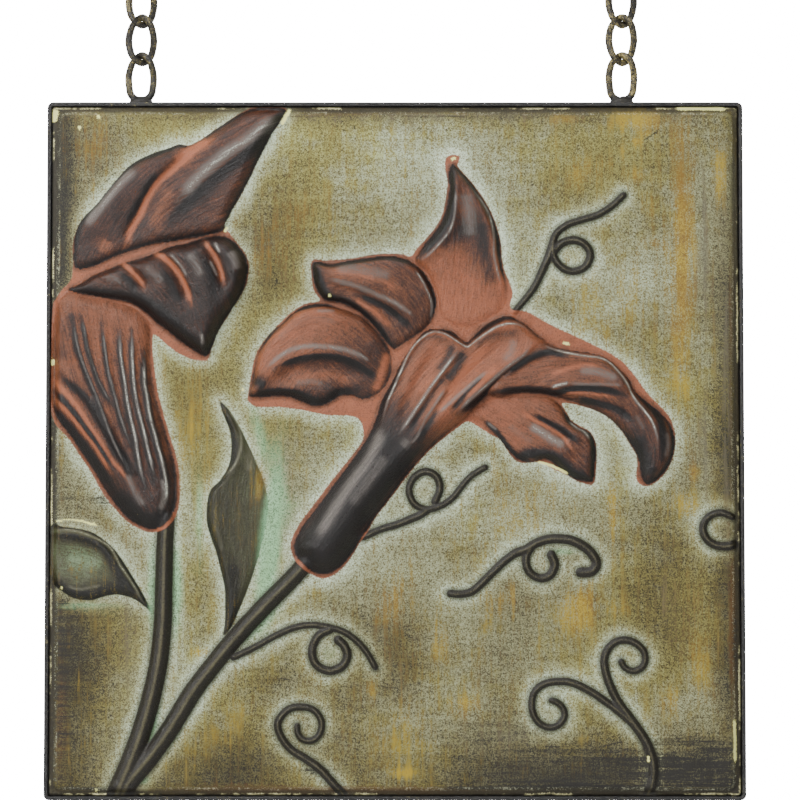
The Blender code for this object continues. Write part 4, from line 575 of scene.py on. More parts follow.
# Small marks: a path and the half width
marks = {
    "cream": [
        ([(33.6, 96.6), (34.4, 98), (35, 99.2)], 0.3), ([(25.5, 81.2), (26, 81.9)], 0.22),
        ([(28.1, 58.4), (28.4, 58.6)], 0.3), ([(0.9, 62), (0.9, 63)], 0.35),
        ([(7.2, 97.7), (7.6, 97.9)], 0.4), ([(4.4, 96.2), (4.9, 96.4)], 0.3),
        ([(40.5, 71.8), (40.8, 72)], 0.25), ([(7.4, 1.5), (7.7, 1.5)], 0.4), ([(86, 5.4), (86, 6.4)], 0.2),
        ([(98.4, 5), (98.4, 8), (98.3, 12)], 0.25), ([(2.4, 30.2), (2.7, 30.2)], 0.25),
        ([(74, 65.3), (75, 65)], 0.2), ([(70, 48.3), (72.4, 47.6), (75, 46.3)], 0.2),
        ([(90, 99.1), (94, 99.2), (98, 99)], 0.35), ([(58, 91.6), (58.8, 91.9)], 0.2),
        ([(1, 39.6), (4, 39.9), (8, 39)], 0.14), ([(0.8, 97), (1.2, 99)], 0.5)],
    "dark": [
        ([(82.3, 92.2), (85, 93.8), (88.5, 96.3)], 0.14),
        ([(70, 7.6), (75, 7.8), (80, 7.8), (83.5, 8.8)], 0.14), ([(66, 84.5), (69.5, 85.8)], 0.09),
        ([(74, 94.3), (75.5, 93), (76, 91)], 0.08), ([(6.5, 86.5), (10.5, 90.5)], 0.08),
        ([(89.3, 96.8), (89.4, 96.9)], 0.3), ([(96, 97.2), (96.1, 97.2)], 0.3),
        ([(93.2, 95.5), (93.4, 95.6)], 0.25), ([(78, 88.5), (78.2, 88.5)], 0.25),
        ([(33.4, 96.2), (34, 96.8), (34.6, 96.4)], 0.12), ([(66.4, 20.7), (66.6, 20.8)], 0.3),
        ([(20, 33), (20.4, 36)], 0.07), ([(36, 92), (38.4, 93)], 0.07)],
}

# The relief map. Lengths are in metres; a "Reach" and the widths in the tables are in percent of the side
relief = {"mapStep": 0.0005, "fieldRise": 0.002, "height": 0.008, "fieldMargin": 0.0016,
          "cornerRadius": 0.0048, "fieldRoll": 0.003, "leastHeight": 0.02, "softening": 2, "creaseBlur": 7,
          "paintReach": 4.0, "spineReach": 40.0}
# How a line fades towards its ends, its least strength there, and how many half widths its sides go on
brushEnds = {"slope": 8, "least": 0.3, "tail": 2.4}
foldEnds = {"slope": 6, "least": 0.2, "tail": 2.6}
# The limits of the dark glaze and painted shade, the painted highlight along the crest of the beads, and the
# glaze that bleeds out round the figures
glazeCoat = {"least": -0.25, "most": 1.15, "beadHighlight": 0.55, "beadHighlightWidth": 0.26, "bleedPasses": 6,
             "bleedShare": 0.35, "leastCover": 0.08}
# Which places count as near to a figure when the sheet's grid is split, in percent of the side
fineMesh = {"borderBand": 2.4, "outside": 0.3, "calmBelow": 0.034, "inside": 0.3, "markedAbove": 0.1,
            "far": 9.0}
reliefSize = int(round(panel["side"] / relief["mapStep"])) + 1
percentStep = 100 / (reliefSize - 1)
gridU, gridV = np.meshgrid(np.arange(reliefSize) * percentStep, np.arange(reliefSize) * percentStep)


def smoothPath(points, closed=False, steps=5):  # Catmull-Rom curve through the given points
    knots = np.asarray(points, float)
    if closed:
        knots = np.vstack([knots[-1], knots, knots[:2]])
    else:
        knots = np.vstack([2 * knots[0] - knots[1], knots, 2 * knots[-1] - knots[-2]])
    share = np.linspace(0, 1, steps, endpoint=False)[:, None]
    spans = [0.5 * (2 * b + (c - a) * share + (2 * a - 5 * b + 4 * c - d) * share ** 2
                    + (3 * b - a - 3 * c + d) * share ** 3)
             for a, b, c, d in zip(knots[:-3], knots[1:-2], knots[2:-1], knots[3:])]
    if not closed:
        spans.append(knots[-2][None])
    return np.vstack(spans)


def outlinePath(points):
    return smoothPath(points, closed=True, steps=4)


def mapWindow(low, high):  # the part of the map between two corners
    first = np.clip(np.floor(low / percentStep).astype(int), 0, reliefSize - 1)
    last = np.clip(np.ceil(high / percentStep).astype(int) + 1, 1, reliefSize)
    return slice(first[1], last[1]), slice(first[0], last[0])


def strokeField(path, reach, closed=False):  # distance to a path, side of it (+1 left) and share of it passed
    starts = path if closed else path[:-1]
    ends = np.roll(path, -1, axis=0) if closed else path[1:]
    lengths = np.maximum(np.hypot(*(ends - starts).T), 1e-9)
    passed = np.concatenate([[0], np.cumsum(lengths)[:-1]])
    nearest, side, along = np.full(gridU.shape, float(reach)), np.ones(gridU.shape), np.zeros(gridU.shape)
    for start, end, length, before in zip(starts, ends, lengths, passed):
        window = mapWindow(np.minimum(start, end) - reach, np.maximum(start, end) + reach)
        du, dv = end - start
        u, v = gridU[window] - start[0], gridV[window] - start[1]
        share = np.clip((u * du + v * dv) / length ** 2, 0, 1)
        offU, offV = u - share * du, v - share * dv
        distance = np.hypot(offU, offV)
        closer = distance < nearest[window]
        for field, value in ((nearest, distance), (side, np.sign(du * offV - dv * offU)),
                             (along, before + share * length)):
            field[window] = np.where(closer, value, field[window])
    return nearest, side, along / lengths.sum()


def insidePath(path):  # even-odd test of every map point
    inside = np.zeros(gridU.shape, bool)
    window = mapWindow(path.min(0), path.max(0))
    u, v = gridU[window], gridV[window]
    for (ua, va), (ub, vb) in zip(path, np.roll(path, -1, axis=0)):
        if va != vb:
            inside[window] ^= ((va > v) != (vb > v)) & (u < (ub - ua) * (v - va) / (vb - va) + ua)
    return inside


def signedDistance(points):  # positive inside the outline
    path = outlinePath(points)
    distance = strokeField(path, relief["paintReach"], closed=True)[0]
    return np.where(insidePath(path), distance, -distance)


def blurred(field, passes):
    field = field.copy()
    for turn in range(passes):
        for axis in (0, 1):
            field = 0.25 * np.roll(field, 1, axis) + 0.5 * field + 0.25 * np.roll(field, -1, axis)
    return field


def shareBetween(first, last):  # 0 at the first of a figure's two places, 1 at the second
    run = np.subtract(last[:2], first[:2])
    return np.clip(((gridU - first[0]) * run[0] + (gridV - first[1]) * run[1]) / (run @ run), 0, 1)


def softLine(points, strength, left, right, slope, least, tail):  # fades at its ends and sides
    reach = tail * max(left, right)
    distance, side, along = strokeField(smoothPath(points), reach)
    fade = np.clip(np.minimum(along, 1 - along) * slope, least, 1)
    return strength * fade * np.exp(-(distance / np.where(side > 0, left, right)) ** 2) * (distance < reach)


def figureField(figure):
    path = outlinePath(figure["outline"])
    first, last = figure["rise"]
    share = shareBetween(first, last)
    height, shoulder = (first[place] + share * (last[place] - first[place]) for place in (2, 3))
    for fold in figure["folds"]:
        height = height + softLine(*fold, **foldEnds)
    distance = strokeField(path, max(first[3], last[3]), closed=True)[0]
    rise = np.sin(pi / 2 * np.clip(distance / shoulder, 0, 1))
    return np.where(insidePath(path), np.maximum(height, relief["leastHeight"]) * rise, 0)


def beadField(bead):  # height, distance inside its edge and half width
    points, height, startWidth, endWidth = bead
    distance, side, along = strokeField(smoothPath(points), relief["paintReach"])
    width = startWidth + along * (endWidth - startWidth)
    return height * np.clip(1 - (distance / width) ** 2, 0, 1) ** 0.8, width - distance, width


def patchField(spots):  # soft elongated spots
    total = np.zeros(gridU.shape)
    for u, v, length, width, turn, strength in spots:
        along = (gridU - u) * cos(radians(turn)) + (gridV - v) * sin(radians(turn))
        across = (gridV - v) * cos(radians(turn)) - (gridU - u) * sin(radians(turn))
        total = np.maximum(total, strength * np.exp(-(along / length) ** 2 - (across / width) ** 2))
    return total


def markField(lines):  # the strongest of some lines, each as wide on both sides
    total = np.zeros(gridU.shape)
    for points, strength, width in lines:
        total = np.maximum(total, softLine(points, strength, width, width, **brushEnds))
    return total


def glazeAndShadeField(figure, glazeAndShade):  # how much dark glaze and painted shade one figure has
    first, last = glazeAndShade["base"]
    share = shareBetween(first, last)
    rimFirst, rimLast, width = glazeAndShade["rim"]
    fromEdge = strokeField(outlinePath(figure["outline"]), 3 * width, closed=True)[0]
    coat = first[2] + share * (last[2] - first[2])
    coat = coat + (rimFirst + share * (rimLast - rimFirst)) * np.exp(-(fromEdge / width) ** 2)
    for stroke in glazeAndShade["strokes"]:
        coat = coat + softLine(*stroke, **brushEnds)
    return np.clip(coat, glazeCoat["least"], glazeCoat["most"])


def pressFigures(maps):  # the higher of two figures covers the lower one, with its glaze, painted shade and painted highlights
    raised = np.zeros(gridU.shape)
    for name, figure in figures.items():
        height = figureField(figure)
        mine = (height > raised) & (height > 0)
        distance, side, along = strokeField(smoothPath(glazeShadeHighlights[name]["spine"]), relief["spineReach"])
        fields = {"glazeAndShade": glazeAndShadeField(figure, glazeShadeHighlights[name]), "paintedHighlight": markField(glazeShadeHighlights[name]["paintedHighlight"]),
                  "across": distance * side, "along": along}
        for key, field in fields.items():
            maps[key] = np.where(mine, field, maps[key])
        raised = np.maximum(raised, height)
    for outline in flowerPaint.values():
        maps["flower"] = np.maximum(maps["flower"], signedDistance(outline))
    for bead in beads.values():
        height, distance, width = beadField(bead)
        # a painted highlight along the crest of each stem and tendril
        crest = np.exp(-((width - distance) / (glazeCoat["beadHighlightWidth"] * width)) ** 2) * (maps["flower"] < 0)
        mine = (height > raised) & (height > 0)
        maps["paintedHighlight"] = np.where(mine, glazeCoat["beadHighlight"] * crest, maps["paintedHighlight"])
        maps["stem"] = np.maximum(maps["stem"], distance)
        raised = np.maximum(raised, height)
    covered = (raised > 0) * 1.0  # the glaze bleeds a little way out over the bare margin
    spread = blurred(maps["glazeAndShade"] * covered, glazeCoat["bleedPasses"])
    spread = spread / np.maximum(blurred(covered, glazeCoat["bleedPasses"]), glazeCoat["leastCover"])
    maps["glazeAndShade"] = np.where(covered > 0, maps["glazeAndShade"], spread * glazeCoat["bleedShare"])
    return blurred(raised, relief["softening"])


def makeMaps():
    print("pressing the relief map", reliefSize)
    maps = {name: np.zeros(gridU.shape) for name in ("glazeAndShade", "paintedHighlight", "across", "along")}
    maps.update({name: np.full(gridU.shape, -relief["paintReach"]) for name in ("flower", "stem")})
    raised = pressFigures(maps)
    half = (sheetHigh.x - sheetLow.x) / 2
    x, z = (gridU / 100 - 0.5) * panel["side"], (gridV / 100 - 0.5) * panel["side"]
    inner = half - relief["fieldMargin"] - relief["cornerRadius"]
    away = np.hypot(np.maximum(np.abs(x) - inner, 0), np.maximum(np.abs(z) - inner, 0))
    fall = relief["cornerRadius"] - away
    field = np.sin(pi / 2 * np.clip(fall / relief["fieldRoll"], 0, 1))
    maps["height"] = field * (relief["fieldRise"] + relief["height"] * raised)
    # How deep each place lies in a crease: the petals are darkened there, painted shade together with the
    # dark paint in their grooves
    maps["crease"] = blurred(raised, relief["creaseBlur"]) - blurred(raised, 1)
    leaves = [signedDistance(figures[name]["outline"]) for name in ("edgeLeaf", "tallLeaf")]
    maps["leaf"] = np.maximum(*leaves)
    maps["figure"] = np.maximum(np.maximum(maps["flower"], maps["leaf"]), maps["stem"])
    maps["edge"] = (half - np.maximum(np.abs(x), np.abs(z))) * 1000  # both in millimetres
    maps["fall"] = fall * 1000
    for name, spots in patches.items():
        maps[name] = patchField(spots)
    for name, lines in marks.items():
        maps[name] = markField([(points, 1, width) for points, width in lines])

    # How far each place is from where the sheet's mesh has to be fine: the figures, the marks and the border
    border = np.maximum(maps["edge"] / (panel["side"] * 10) - fineMesh["borderBand"], fineMesh["outside"])
    marked = np.where(np.maximum(maps["cream"], maps["dark"]) > fineMesh["markedAbove"], 0, fineMesh["far"])
    shown = (maps["glazeAndShade"], maps["paintedHighlight"], raised)
    busy = blurred(sum(np.abs(field - blurred(field, 3)) for field in shown), 2)
    isCalm = (busy < fineMesh["calmBelow"]) & (maps["figure"] > fineMesh["inside"])
    inside = np.maximum(np.maximum(-maps["figure"], 0), np.where(isCalm, fineMesh["outside"], 0))
    maps["detail"] = np.minimum(np.minimum(inside, border), marked)
    return maps


def sampled(field, x, z):  # bilinear reading of a map at places on the sheet
    column = np.clip((x / panel["side"] + 0.5) * (reliefSize - 1), 0, reliefSize - 1.001)
    row = np.clip(((z - panel["middleZ"]) / panel["side"] + 0.5) * (reliefSize - 1), 0, reliefSize - 1.001)
    left, low = column.astype(int), row.astype(int)
    across, up = column - left, row - low
    return ((field[low, left] * (1 - across) + field[low, left + 1] * across) * (1 - up)
            + (field[low + 1, left] * (1 - across) + field[low + 1, left + 1] * across) * up)


class Signal:  # one socket's output, so that shader maths reads as Python
    def __init__(self, paint, socket):
        self.paint, self.socket = paint, socket

    def math(self, operation, *others):
        return self.paint.node("ShaderNodeMath", {"operation": operation}, [self, *others])

    def __add__(self, other): return self.math("ADD", other)
    def __radd__(self, other): return self.math("ADD", other)
    def __sub__(self, other): return self.math("SUBTRACT", other)
    def __mul__(self, other): return self.math("MULTIPLY", other)

    def __rsub__(self, other):
        return self.paint.node("ShaderNodeMath", {"operation": "SUBTRACT"}, [other, self])

    def between(self, low, high):  # smooth step from 0 to 1
        settings = {"interpolation_type": "SMOOTHSTEP"}
        return self.paint.node("ShaderNodeMapRange", settings, [self, low, high, 0.0, 1.0])


class Paint:  # one material and the means to add nodes to it
    def __init__(self, name):
        self.material = bpy.data.materials.new(name)
        self.material.use_nodes = True
        self.tree = self.material.node_tree
        self.shader = self.tree.nodes["Principled BSDF"]
        self.place = self.node("ShaderNodeTexCoord", {}, [], "Object")

    def node(self, kind, settings, values, output=0):
        made = self.tree.nodes.new(kind)
        for key, value in settings.items():
            setattr(made, key, value)
        pairs = values.items() if isinstance(values, dict) else enumerate(values)
        for key, value in pairs:
            self.join(made.inputs[key], value)
        return Signal(self, made.outputs[output])

    def join(self, socket, value):
        if isinstance(value, Signal):
            self.tree.links.new(value.socket, socket)
        elif isinstance(value, tuple) and len(value) == 3 and socket.type == "RGBA":
            socket.default_value = (*value, 1)
        else:
            socket.default_value = value

    def read(self, name):
        return self.node("ShaderNodeAttribute", {"attribute_name": name}, [], "Fac")

    def noise(self, scale, detail=3.0, roughness=0.55, stretch=None, place=None):
        place = place or self.place
        if stretch:
            place = self.node("ShaderNodeMapping", {}, {"Vector": place, "Scale": stretch})
        values = {"Vector": place, "Scale": scale, "Detail": detail, "Roughness": roughness}
        return self.node("ShaderNodeTexNoise", {}, values, "Fac")

    def ramp(self, colours, share):  # the first two stops are its ends
        made = self.node("ShaderNodeValToRGB", {}, [share], "Color")
        stops = made.socket.node.color_ramp.elements
        for number, (position, colour) in enumerate(colours):
            stop = stops[number] if number < 2 else stops.new(position)
            stop.position, stop.color = position, (*shade(*colour), 1)
        return made

    def mix(self, share, first, second, blend="MIX"):
        settings = {"data_type": "RGBA", "blend_type": blend, "clamp_factor": True}
        return self.node("ShaderNodeMix", settings, {"Factor": share, 6: first, 7: second}, 2)

    def finish(self, colour, roughness, bumps=()):
        for name, value in (("Base Color", colour), ("Roughness", roughness), ("Metallic", 0.0)):
            self.join(self.shader.inputs[name], value)
        normal = {}
        for height, distance in bumps:
            values = {"Height": height, "Distance": distance, "Strength": 1.0}
            normal = {"Normal": self.node("ShaderNodeBump", {}, values | normal)}
        if normal:
            self.join(self.shader.inputs["Normal"], normal["Normal"])
        return self.material


def shade(red, green, blue):  # a colour as the eye reads it, from 0 to 255, to linear light
    return tuple(((part / 255 + 0.055) / 1.055) ** 2.4 if part > 10 else part / 3294.6
                 for part in (red, green, blue))


# The glazes of the panel, with the painted sheen, highlight and crease shade of the figures, and ramps from
# thin to thick glaze whose first two stops are their ends
glazeTones = {
    "yellowed": (251, 241, 180), "ochre": (166, 140, 30), "burntOchre": (126, 94, 24), "grey": (92, 88, 72),
    "mint": (138, 190, 142), "darkMint": (84, 122, 84), "stemShade": (48, 48, 30), "brown": (84, 54, 20),
    "soot": (28, 26, 22), "scratch": (30, 27, 20), "fold": (42, 37, 24), "wornRim": (222, 216, 160),
    "lip": (28, 25, 18), "wornRoll": (204, 206, 170), "petalSpeck": (50, 28, 18), "petalCreaseShade": (26, 16, 13),
    "petalSheen": (110, 103, 97), "petalHighlight": (212, 216, 200), "leafSpeck": (30, 31, 20),
    "leafSheen": (112, 110, 90), "leafHighlight": (205, 212, 180), "stem": (25, 21, 13), "stemHighlight": (92, 87, 60),
    "stemSpeck": (80, 76, 50), "chip": (240, 238, 150), "primer": (40, 37, 31), "palePrimer": (66, 60, 48)}
glazeRamps = {
    "ground": [(0.0, (222, 234, 212)), (1.0, (22, 21, 15)), (0.22, (180, 193, 166)), (0.43, (142, 145, 109)),
               (0.62, (108, 103, 68)), (0.8, (62, 58, 38))],
    "petal": [(0.0, (152, 88, 59)), (1.0, (13, 9, 8)), (0.2, (132, 76, 50)), (0.4, (106, 62, 38)),
              (0.6, (66, 37, 24)), (0.8, (32, 21, 17))],
    "leaf": [(0.0, (106, 124, 92)), (1.0, (16, 15, 9)), (0.25, (82, 90, 62)), (0.5, (58, 58, 36)),
             (0.75, (36, 34, 20))]}


def tone(name):
    return shade(*glazeTones[name])


def lilyPaint():
    paint = Paint("lilyPanelPaint")
    paint.join(paint.shader.inputs["Specular IOR Level"], 0.38)
    flower, leaf, stem, figure, edge, fall, glazeAndShade, paintedHighlight, crease = (paint.read(name) for name in (
        "flower", "leaf", "stem", "figure", "edge", "fall", "glazeAndShade", "paintedHighlight", "crease"))
    fine = paint.noise(2300, 2.0, 0.6)
    speck = paint.noise(1150, 4.0, 0.72)
    medium = paint.noise(160, 4.0, 0.62)
    broad = paint.noise(28, 4.0, 0.6)
    cloud = paint.noise(9, 3.0, 0.55)
    upright, level = ((paint.noise(620, 4.0, 0.72, stretch) - 0.5) * 2.2
                      for stretch in ((1.0, 1.0, 0.055), (0.055, 1.0, 1.0)))
    alongFigure = [paint.read("across") * 3.2, paint.read("along") * 9.0, 0.0]
    brush = paint.noise(1.0, 5.0, 0.68, place=paint.node("ShaderNodeCombineXYZ", {}, alongFigure)) - 0.5
    grain = (speck - 0.5) * 3.6 + (fine - 0.5) * 2.8
    mottle = (medium - 0.5) * 1.6

    # The ground: a pale coat under olive glaze, sprayed thin round the figures and thick towards the edges
    beside = (figure + mottle * 0.3).between(-3.0, 0.1)
    beside = beside * (0.6 + beside * 0.4)
    density = 0.62 + (cloud - 0.5) * 0.35 + (broad - 0.5) * 0.42 + paint.read("dim") * 0.36
    density = density - paint.read("pale") * 0.17 - beside * 0.29
    density = density + mottle * 0.08 + upright * 0.13 + level * 0.11
    ground = paint.ramp(glazeRamps["ground"], density * 0.94 + grain.math("MAXIMUM", -0.3) * 0.36)
    tinge = (cloud + (medium - 0.5) * 0.5 + upright * 0.15 - paint.read("pale") * 0.08).between(0.38, 0.6)
    ground = paint.mix(tinge * (1.0 - beside), ground, tone("yellowed"), "MULTIPLY")
    ochre = (paint.read("ochre") + upright * 1.1 + mottle * 0.35 + grain * 0.3 + 0.02).between(0.12, 0.9)
    ochreTone = paint.mix((broad + grain * 0.12).between(0.42, 0.64), tone("ochre"), tone("burntOchre"))
    grey = (paint.read("grey") + upright * 1.1 + grain * 0.24 - 0.02).between(0.2, 0.9)
    green = (paint.read("green") + mottle * 0.35 + grain * 0.18).between(0.15, 0.85)
    mint = paint.mix(grain.between(-0.1, 0.6), tone("mint"), tone("darkMint"))
    # Painted shade: a dark olive band on the ground at the foot of the stems and tendrils, fading outward
    stemShade = (stem + mottle * 0.12 + grain * 0.14).between(-0.8, -0.05)
    brown = (paint.read("brown") + upright * 0.5 + grain * 0.24).between(0.2, 0.8)
    soot = paint.read("soot")
    soot = (soot + soot * (level * 2.6 + upright * 0.5 + grain * 0.5)).between(0.1, 1.0)
    scratch = (paint.read("dark") + grain * 0.2).between(0.3, 0.7)

    # The rim: dark in the fold, worn pale along its outer edge
    fold = (edge + mottle * 0.9 + grain * 0.4).between(3.6, 1.6)
    worn = (edge + mottle * 0.8 + grain * 0.5).between(1.05, 0.85)
    worn = worn * (medium * 0.5 + broad * 0.8).between(0.65, 0.72)
    lip = (edge + (level + upright) * 0.45).between(0.6, 0.3)
    roll = fall.between(0.2, 1.2) * fall.between(2.6, 1.8)
    roll = roll * (upright + level + grain * 0.8 + mottle).between(0.15, 0.9)
    for coat, colour in ((ochre * 0.84, ochreTone), (grey * 0.7, tone("grey")), (green * 0.78, mint),
                         (stemShade * 0.75, tone("stemShade")), (brown * 0.8, tone("brown")),
                         (soot * 0.95, tone("soot")), (scratch * 0.85, tone("scratch")),
                         (fold * 0.8, tone("fold")), (worn * 0.85, tone("wornRim")),
                         (lip * 0.9, tone("lip")), (roll * 0.5, tone("wornRoll"))):
        ground = paint.mix(coat, ground, colour)

    # The flowers: terracotta under a dark glaze that is also painted shade, with painted grey sheen and white
    # highlights along the crests and painted shade in the creases
    depth = (glazeAndShade + brush * 0.85 + grain * 0.14 + mottle * 0.26) * 0.9 + 0.09
    highlightCoat = paintedHighlight + brush * 0.9 * paintedHighlight + grain * 0.2 * paintedHighlight
    paintedSheen = (highlightCoat + (brush + mottle * 0.25) * 0.4 * glazeAndShade.between(0.1, 0.6)).between(0.07, 0.7)
    paintedWhiteHighlight = highlightCoat.between(0.60, 0.95)
    petal = paint.ramp(glazeRamps["petal"], depth)
    for coat, colour in (((grain * 0.7 + brush).between(0.28, 0.8) * 0.5, "petalSpeck"),
                         (crease.between(0.02, 0.10) * 0.55, "petalCreaseShade"), (paintedSheen * 0.8, "petalSheen"),
                         (paintedWhiteHighlight * 0.9, "petalHighlight")):
        petal = paint.mix(coat, petal, tone(colour))

    # The leaves are speckled olive with painted grey sheen and white highlights, and the stems nearly black
    # with a painted highlight along the crest
    leafTone = paint.ramp(glazeRamps["leaf"], depth)
    for coat, colour in (((grain * 0.9 + upright * 1.5).between(0.0, 0.7) * 0.75, tone("leafSpeck")),
                         (ochre * 0.5, ochreTone), (paintedSheen * 0.6, tone("leafSheen")),
                         (paintedWhiteHighlight * 0.85, tone("leafHighlight")), (green * 0.8, mint)):
        leafTone = paint.mix(coat, leafTone, colour)
    crest = (paintedHighlight + grain * 0.14 + mottle * 0.2).between(0.16, 0.75)
    stemTone = paint.mix(crest, tone("stem"), tone("stemHighlight"))
    stemTone = paint.mix(grain.between(0.5, 0.9) * 0.5, stemTone, tone("stemSpeck"))

    stemEdge = (stem + mottle * 0.07 + grain * 0.03).between(-0.10, 0.05)
    leafEdge = (leaf + mottle * 0.12).between(-0.1, 0.12)
    petalEdge = (flower + mottle * 0.16 + grain * 0.05).between(-0.10, 0.10)
    chipped = (paint.read("cream") + grain * 0.25 + mottle * 0.2).between(0.35, 0.6)
    primer = paint.mix(medium.between(0.4, 0.62), tone("primer"), tone("palePrimer"))
    colour = ground
    for area, coat in ((stemEdge, stemTone), (leafEdge, leafTone), (petalEdge, petal),
                       (chipped * 0.92, tone("chip")), (paint.read("behind").between(0.4, 0.6), primer)):
        colour = paint.mix(area, colour, coat)
    gloss = petalEdge.math("MAXIMUM", leafEdge.math("MAXIMUM", stemEdge))
    roughness = 0.56 - gloss * 0.24 + mottle * 0.08 + grain * 0.04
    return paint.finish(colour, roughness, [(medium, 0.0005), (speck + brush * gloss, 0.0004)])


def ironPaint(name, base, chip, amount, chipsAbove=None):  # "amount" is how much of it has chipped off
    paint = Paint(name)
    speck = paint.noise(2000, 4.0, 0.7)
    patch = paint.noise(420, 4.0, 0.66)
    broad = paint.noise(34, 3.0, 0.5)
    colour = paint.mix(patch.between(0.42, 0.62), shade(*base), shade(*(part * 1.6 + 6 for part in base)))
    chips = (speck * 0.7 + patch * 0.3 + (broad - 0.5) * 0.2).between(0.63 - amount, 0.65 - amount)
    if chipsAbove:
        up = paint.node("ShaderNodeSeparateXYZ", {}, [paint.place], "Z")
        chips = chips * (up + (patch - 0.5) * 0.004).between(chipsAbove, chipsAbove + 0.0012)
    chipTone = paint.mix(speck.between(0.4, 0.65), shade(*chip), shade(*(part * 0.6 for part in chip)))
    roughness = 0.34 + chips * 0.28 + (patch - 0.5) * 0.3
    return paint.finish(paint.mix(chips, colour, chipTone), roughness, [(speck, 0.00035), (patch, 0.0005)])


def newObject(name, data):
    made = bpy.data.objects.new(name, data)
    bpy.context.scene.collection.objects.link(made)
    return made


def newMesh(name, bm):
    mesh = bpy.data.meshes.new(name)
    bm.to_mesh(mesh)
    bm.free()
    return mesh


def addPiece(name, bm, material, node):
    mesh = newMesh(name, bm)
    mesh.materials.append(material)
    mesh.shade_smooth()
    piece = newObject(name, mesh)
    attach(piece, "root")
    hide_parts(node)
    return piece


def addModifier(piece, name, kind, **settings):
    made = piece.modifiers.new(name, kind)
    for key, value in settings.items():
        setattr(made, key, value)


def only(kind, geometry):  # the verts or the edges of what an operator returns
    return [item for item in geometry if isinstance(item, kind)]


def uprightGrid(cells, half, y):  # a square that faces the viewer
    bm = bmesh.new()
    bmesh.ops.create_grid(bm, x_segments=cells, y_segments=cells, size=half)
    bmesh.ops.rotate(bm, cent=(0, 0, 0), matrix=Matrix.Rotation(radians(90), 3, "X"), verts=bm.verts)
    bmesh.ops.translate(bm, vec=(0, y, panel["middleZ"]), verts=bm.verts)
    return bm


# Where the figures are nearer than a level's reach, in metres, the grid is split once more
sheet = {"cell": 0.005, "frontLevels": (0.006, 0.003, 0.0008), "backLevels": (0.004,),
         "thickness": 0.0006, "skirt": 0.008, "reliefShare": 0.985, "hollowing": 3}


def pressedSkin(maps, heightMap, inset, levels):  # the front or the back of the sheet, with its skirt
    half = (sheetHigh.x - sheetLow.x) / 2 - inset
    bm = uprightGrid(int(round(2 * half / sheet["cell"])), half, panel["rimY"] + inset)
    for reach in levels:
        middles = np.array([face.calc_center_median() for face in bm.faces])
        wanted = sampled(maps["detail"], middles[:, 0], middles[:, 2]) < reach * 100 / panel["side"]
        chosen = {edge for face, wish in zip(bm.faces, wanted) if wish for edge in face.edges}
        bmesh.ops.subdivide_edges(bm, edges=list(chosen), cuts=1, use_grid_fill=True)
    places = np.array([vert.co for vert in bm.verts])
    limit = half * 0.99999  # the rim itself isn't raised
    for vert, height in zip(bm.verts, sampled(heightMap, places[:, 0], places[:, 2])):
        onRim = abs(vert.co.x) > limit or abs(vert.co.z - panel["middleZ"]) > limit
        vert.co.y -= 0 if onRim else height
    rim = [edge for edge in bm.edges if edge.is_boundary]
    for vert in only(bmesh.types.BMVert, bmesh.ops.extrude_edge_only(bm, edges=rim)["geom"]):
        vert.co.y = panel["rimY"] + sheet["skirt"]
    return bm


def lilySheet(maps):
    print("pressing the sheet")
    raised = maps["height"] * sheet["reliefShare"]
    bm = pressedSkin(maps, raised, 0, sheet["frontLevels"])
    bmesh.ops.recalc_face_normals(bm, faces=bm.faces)
    frontCount = len(bm.verts)
    hollow = raised
    for turn in range(sheet["hollowing"]):  # the back stays inside the front on steep sides too
        for axis in (0, 1):
            hollow = np.minimum(hollow, np.minimum(np.roll(hollow, 1, axis), np.roll(hollow, -1, axis)))
    back = newMesh("backSkin", pressedSkin(maps, blurred(hollow, 1), sheet["thickness"], sheet["backLevels"]))
    bm.from_mesh(back)
    bpy.data.meshes.remove(back)
    bmesh.ops.bridge_loops(bm, edges=[edge for edge in bm.edges if edge.is_boundary])
    bmesh.ops.triangulate(bm, faces=bm.faces)
    bmesh.ops.recalc_face_normals(bm, faces=bm.faces)
    mesh = addPiece("lilySheet", bm, lilyPaint(), "embossed_sheet").data
    places = np.zeros(len(mesh.vertices) * 3)
    mesh.vertices.foreach_get("co", places)
    x, z = places[0::3], places[2::3]
    painted = ("flower", "leaf", "stem", "figure", "edge", "fall", "glazeAndShade", "paintedHighlight", "across", "along",
               "crease", *patches, *marks)
    values = {name: sampled(maps[name], x, z) for name in painted}
    values["behind"] = np.arange(len(x)) >= frontCount  # the hollow back is only primed
    for name, value in values.items():
        mesh.attributes.new(name, "FLOAT", "POINT").data.foreach_set("value", value.astype(np.float32))
    print("sheet triangles", len(mesh.polygons))


bar = {"thickness": 0.0018, "cornerRadius": 0.0026, "cornerSteps": 6, "edgeRound": 0.0003, "edgeSteps": 2,
       "edgeSharperThan": radians(40), "cell": 0.004, "paint": (17, 16, 15), "chip": (205, 190, 120),
       "chipped": 0.03}


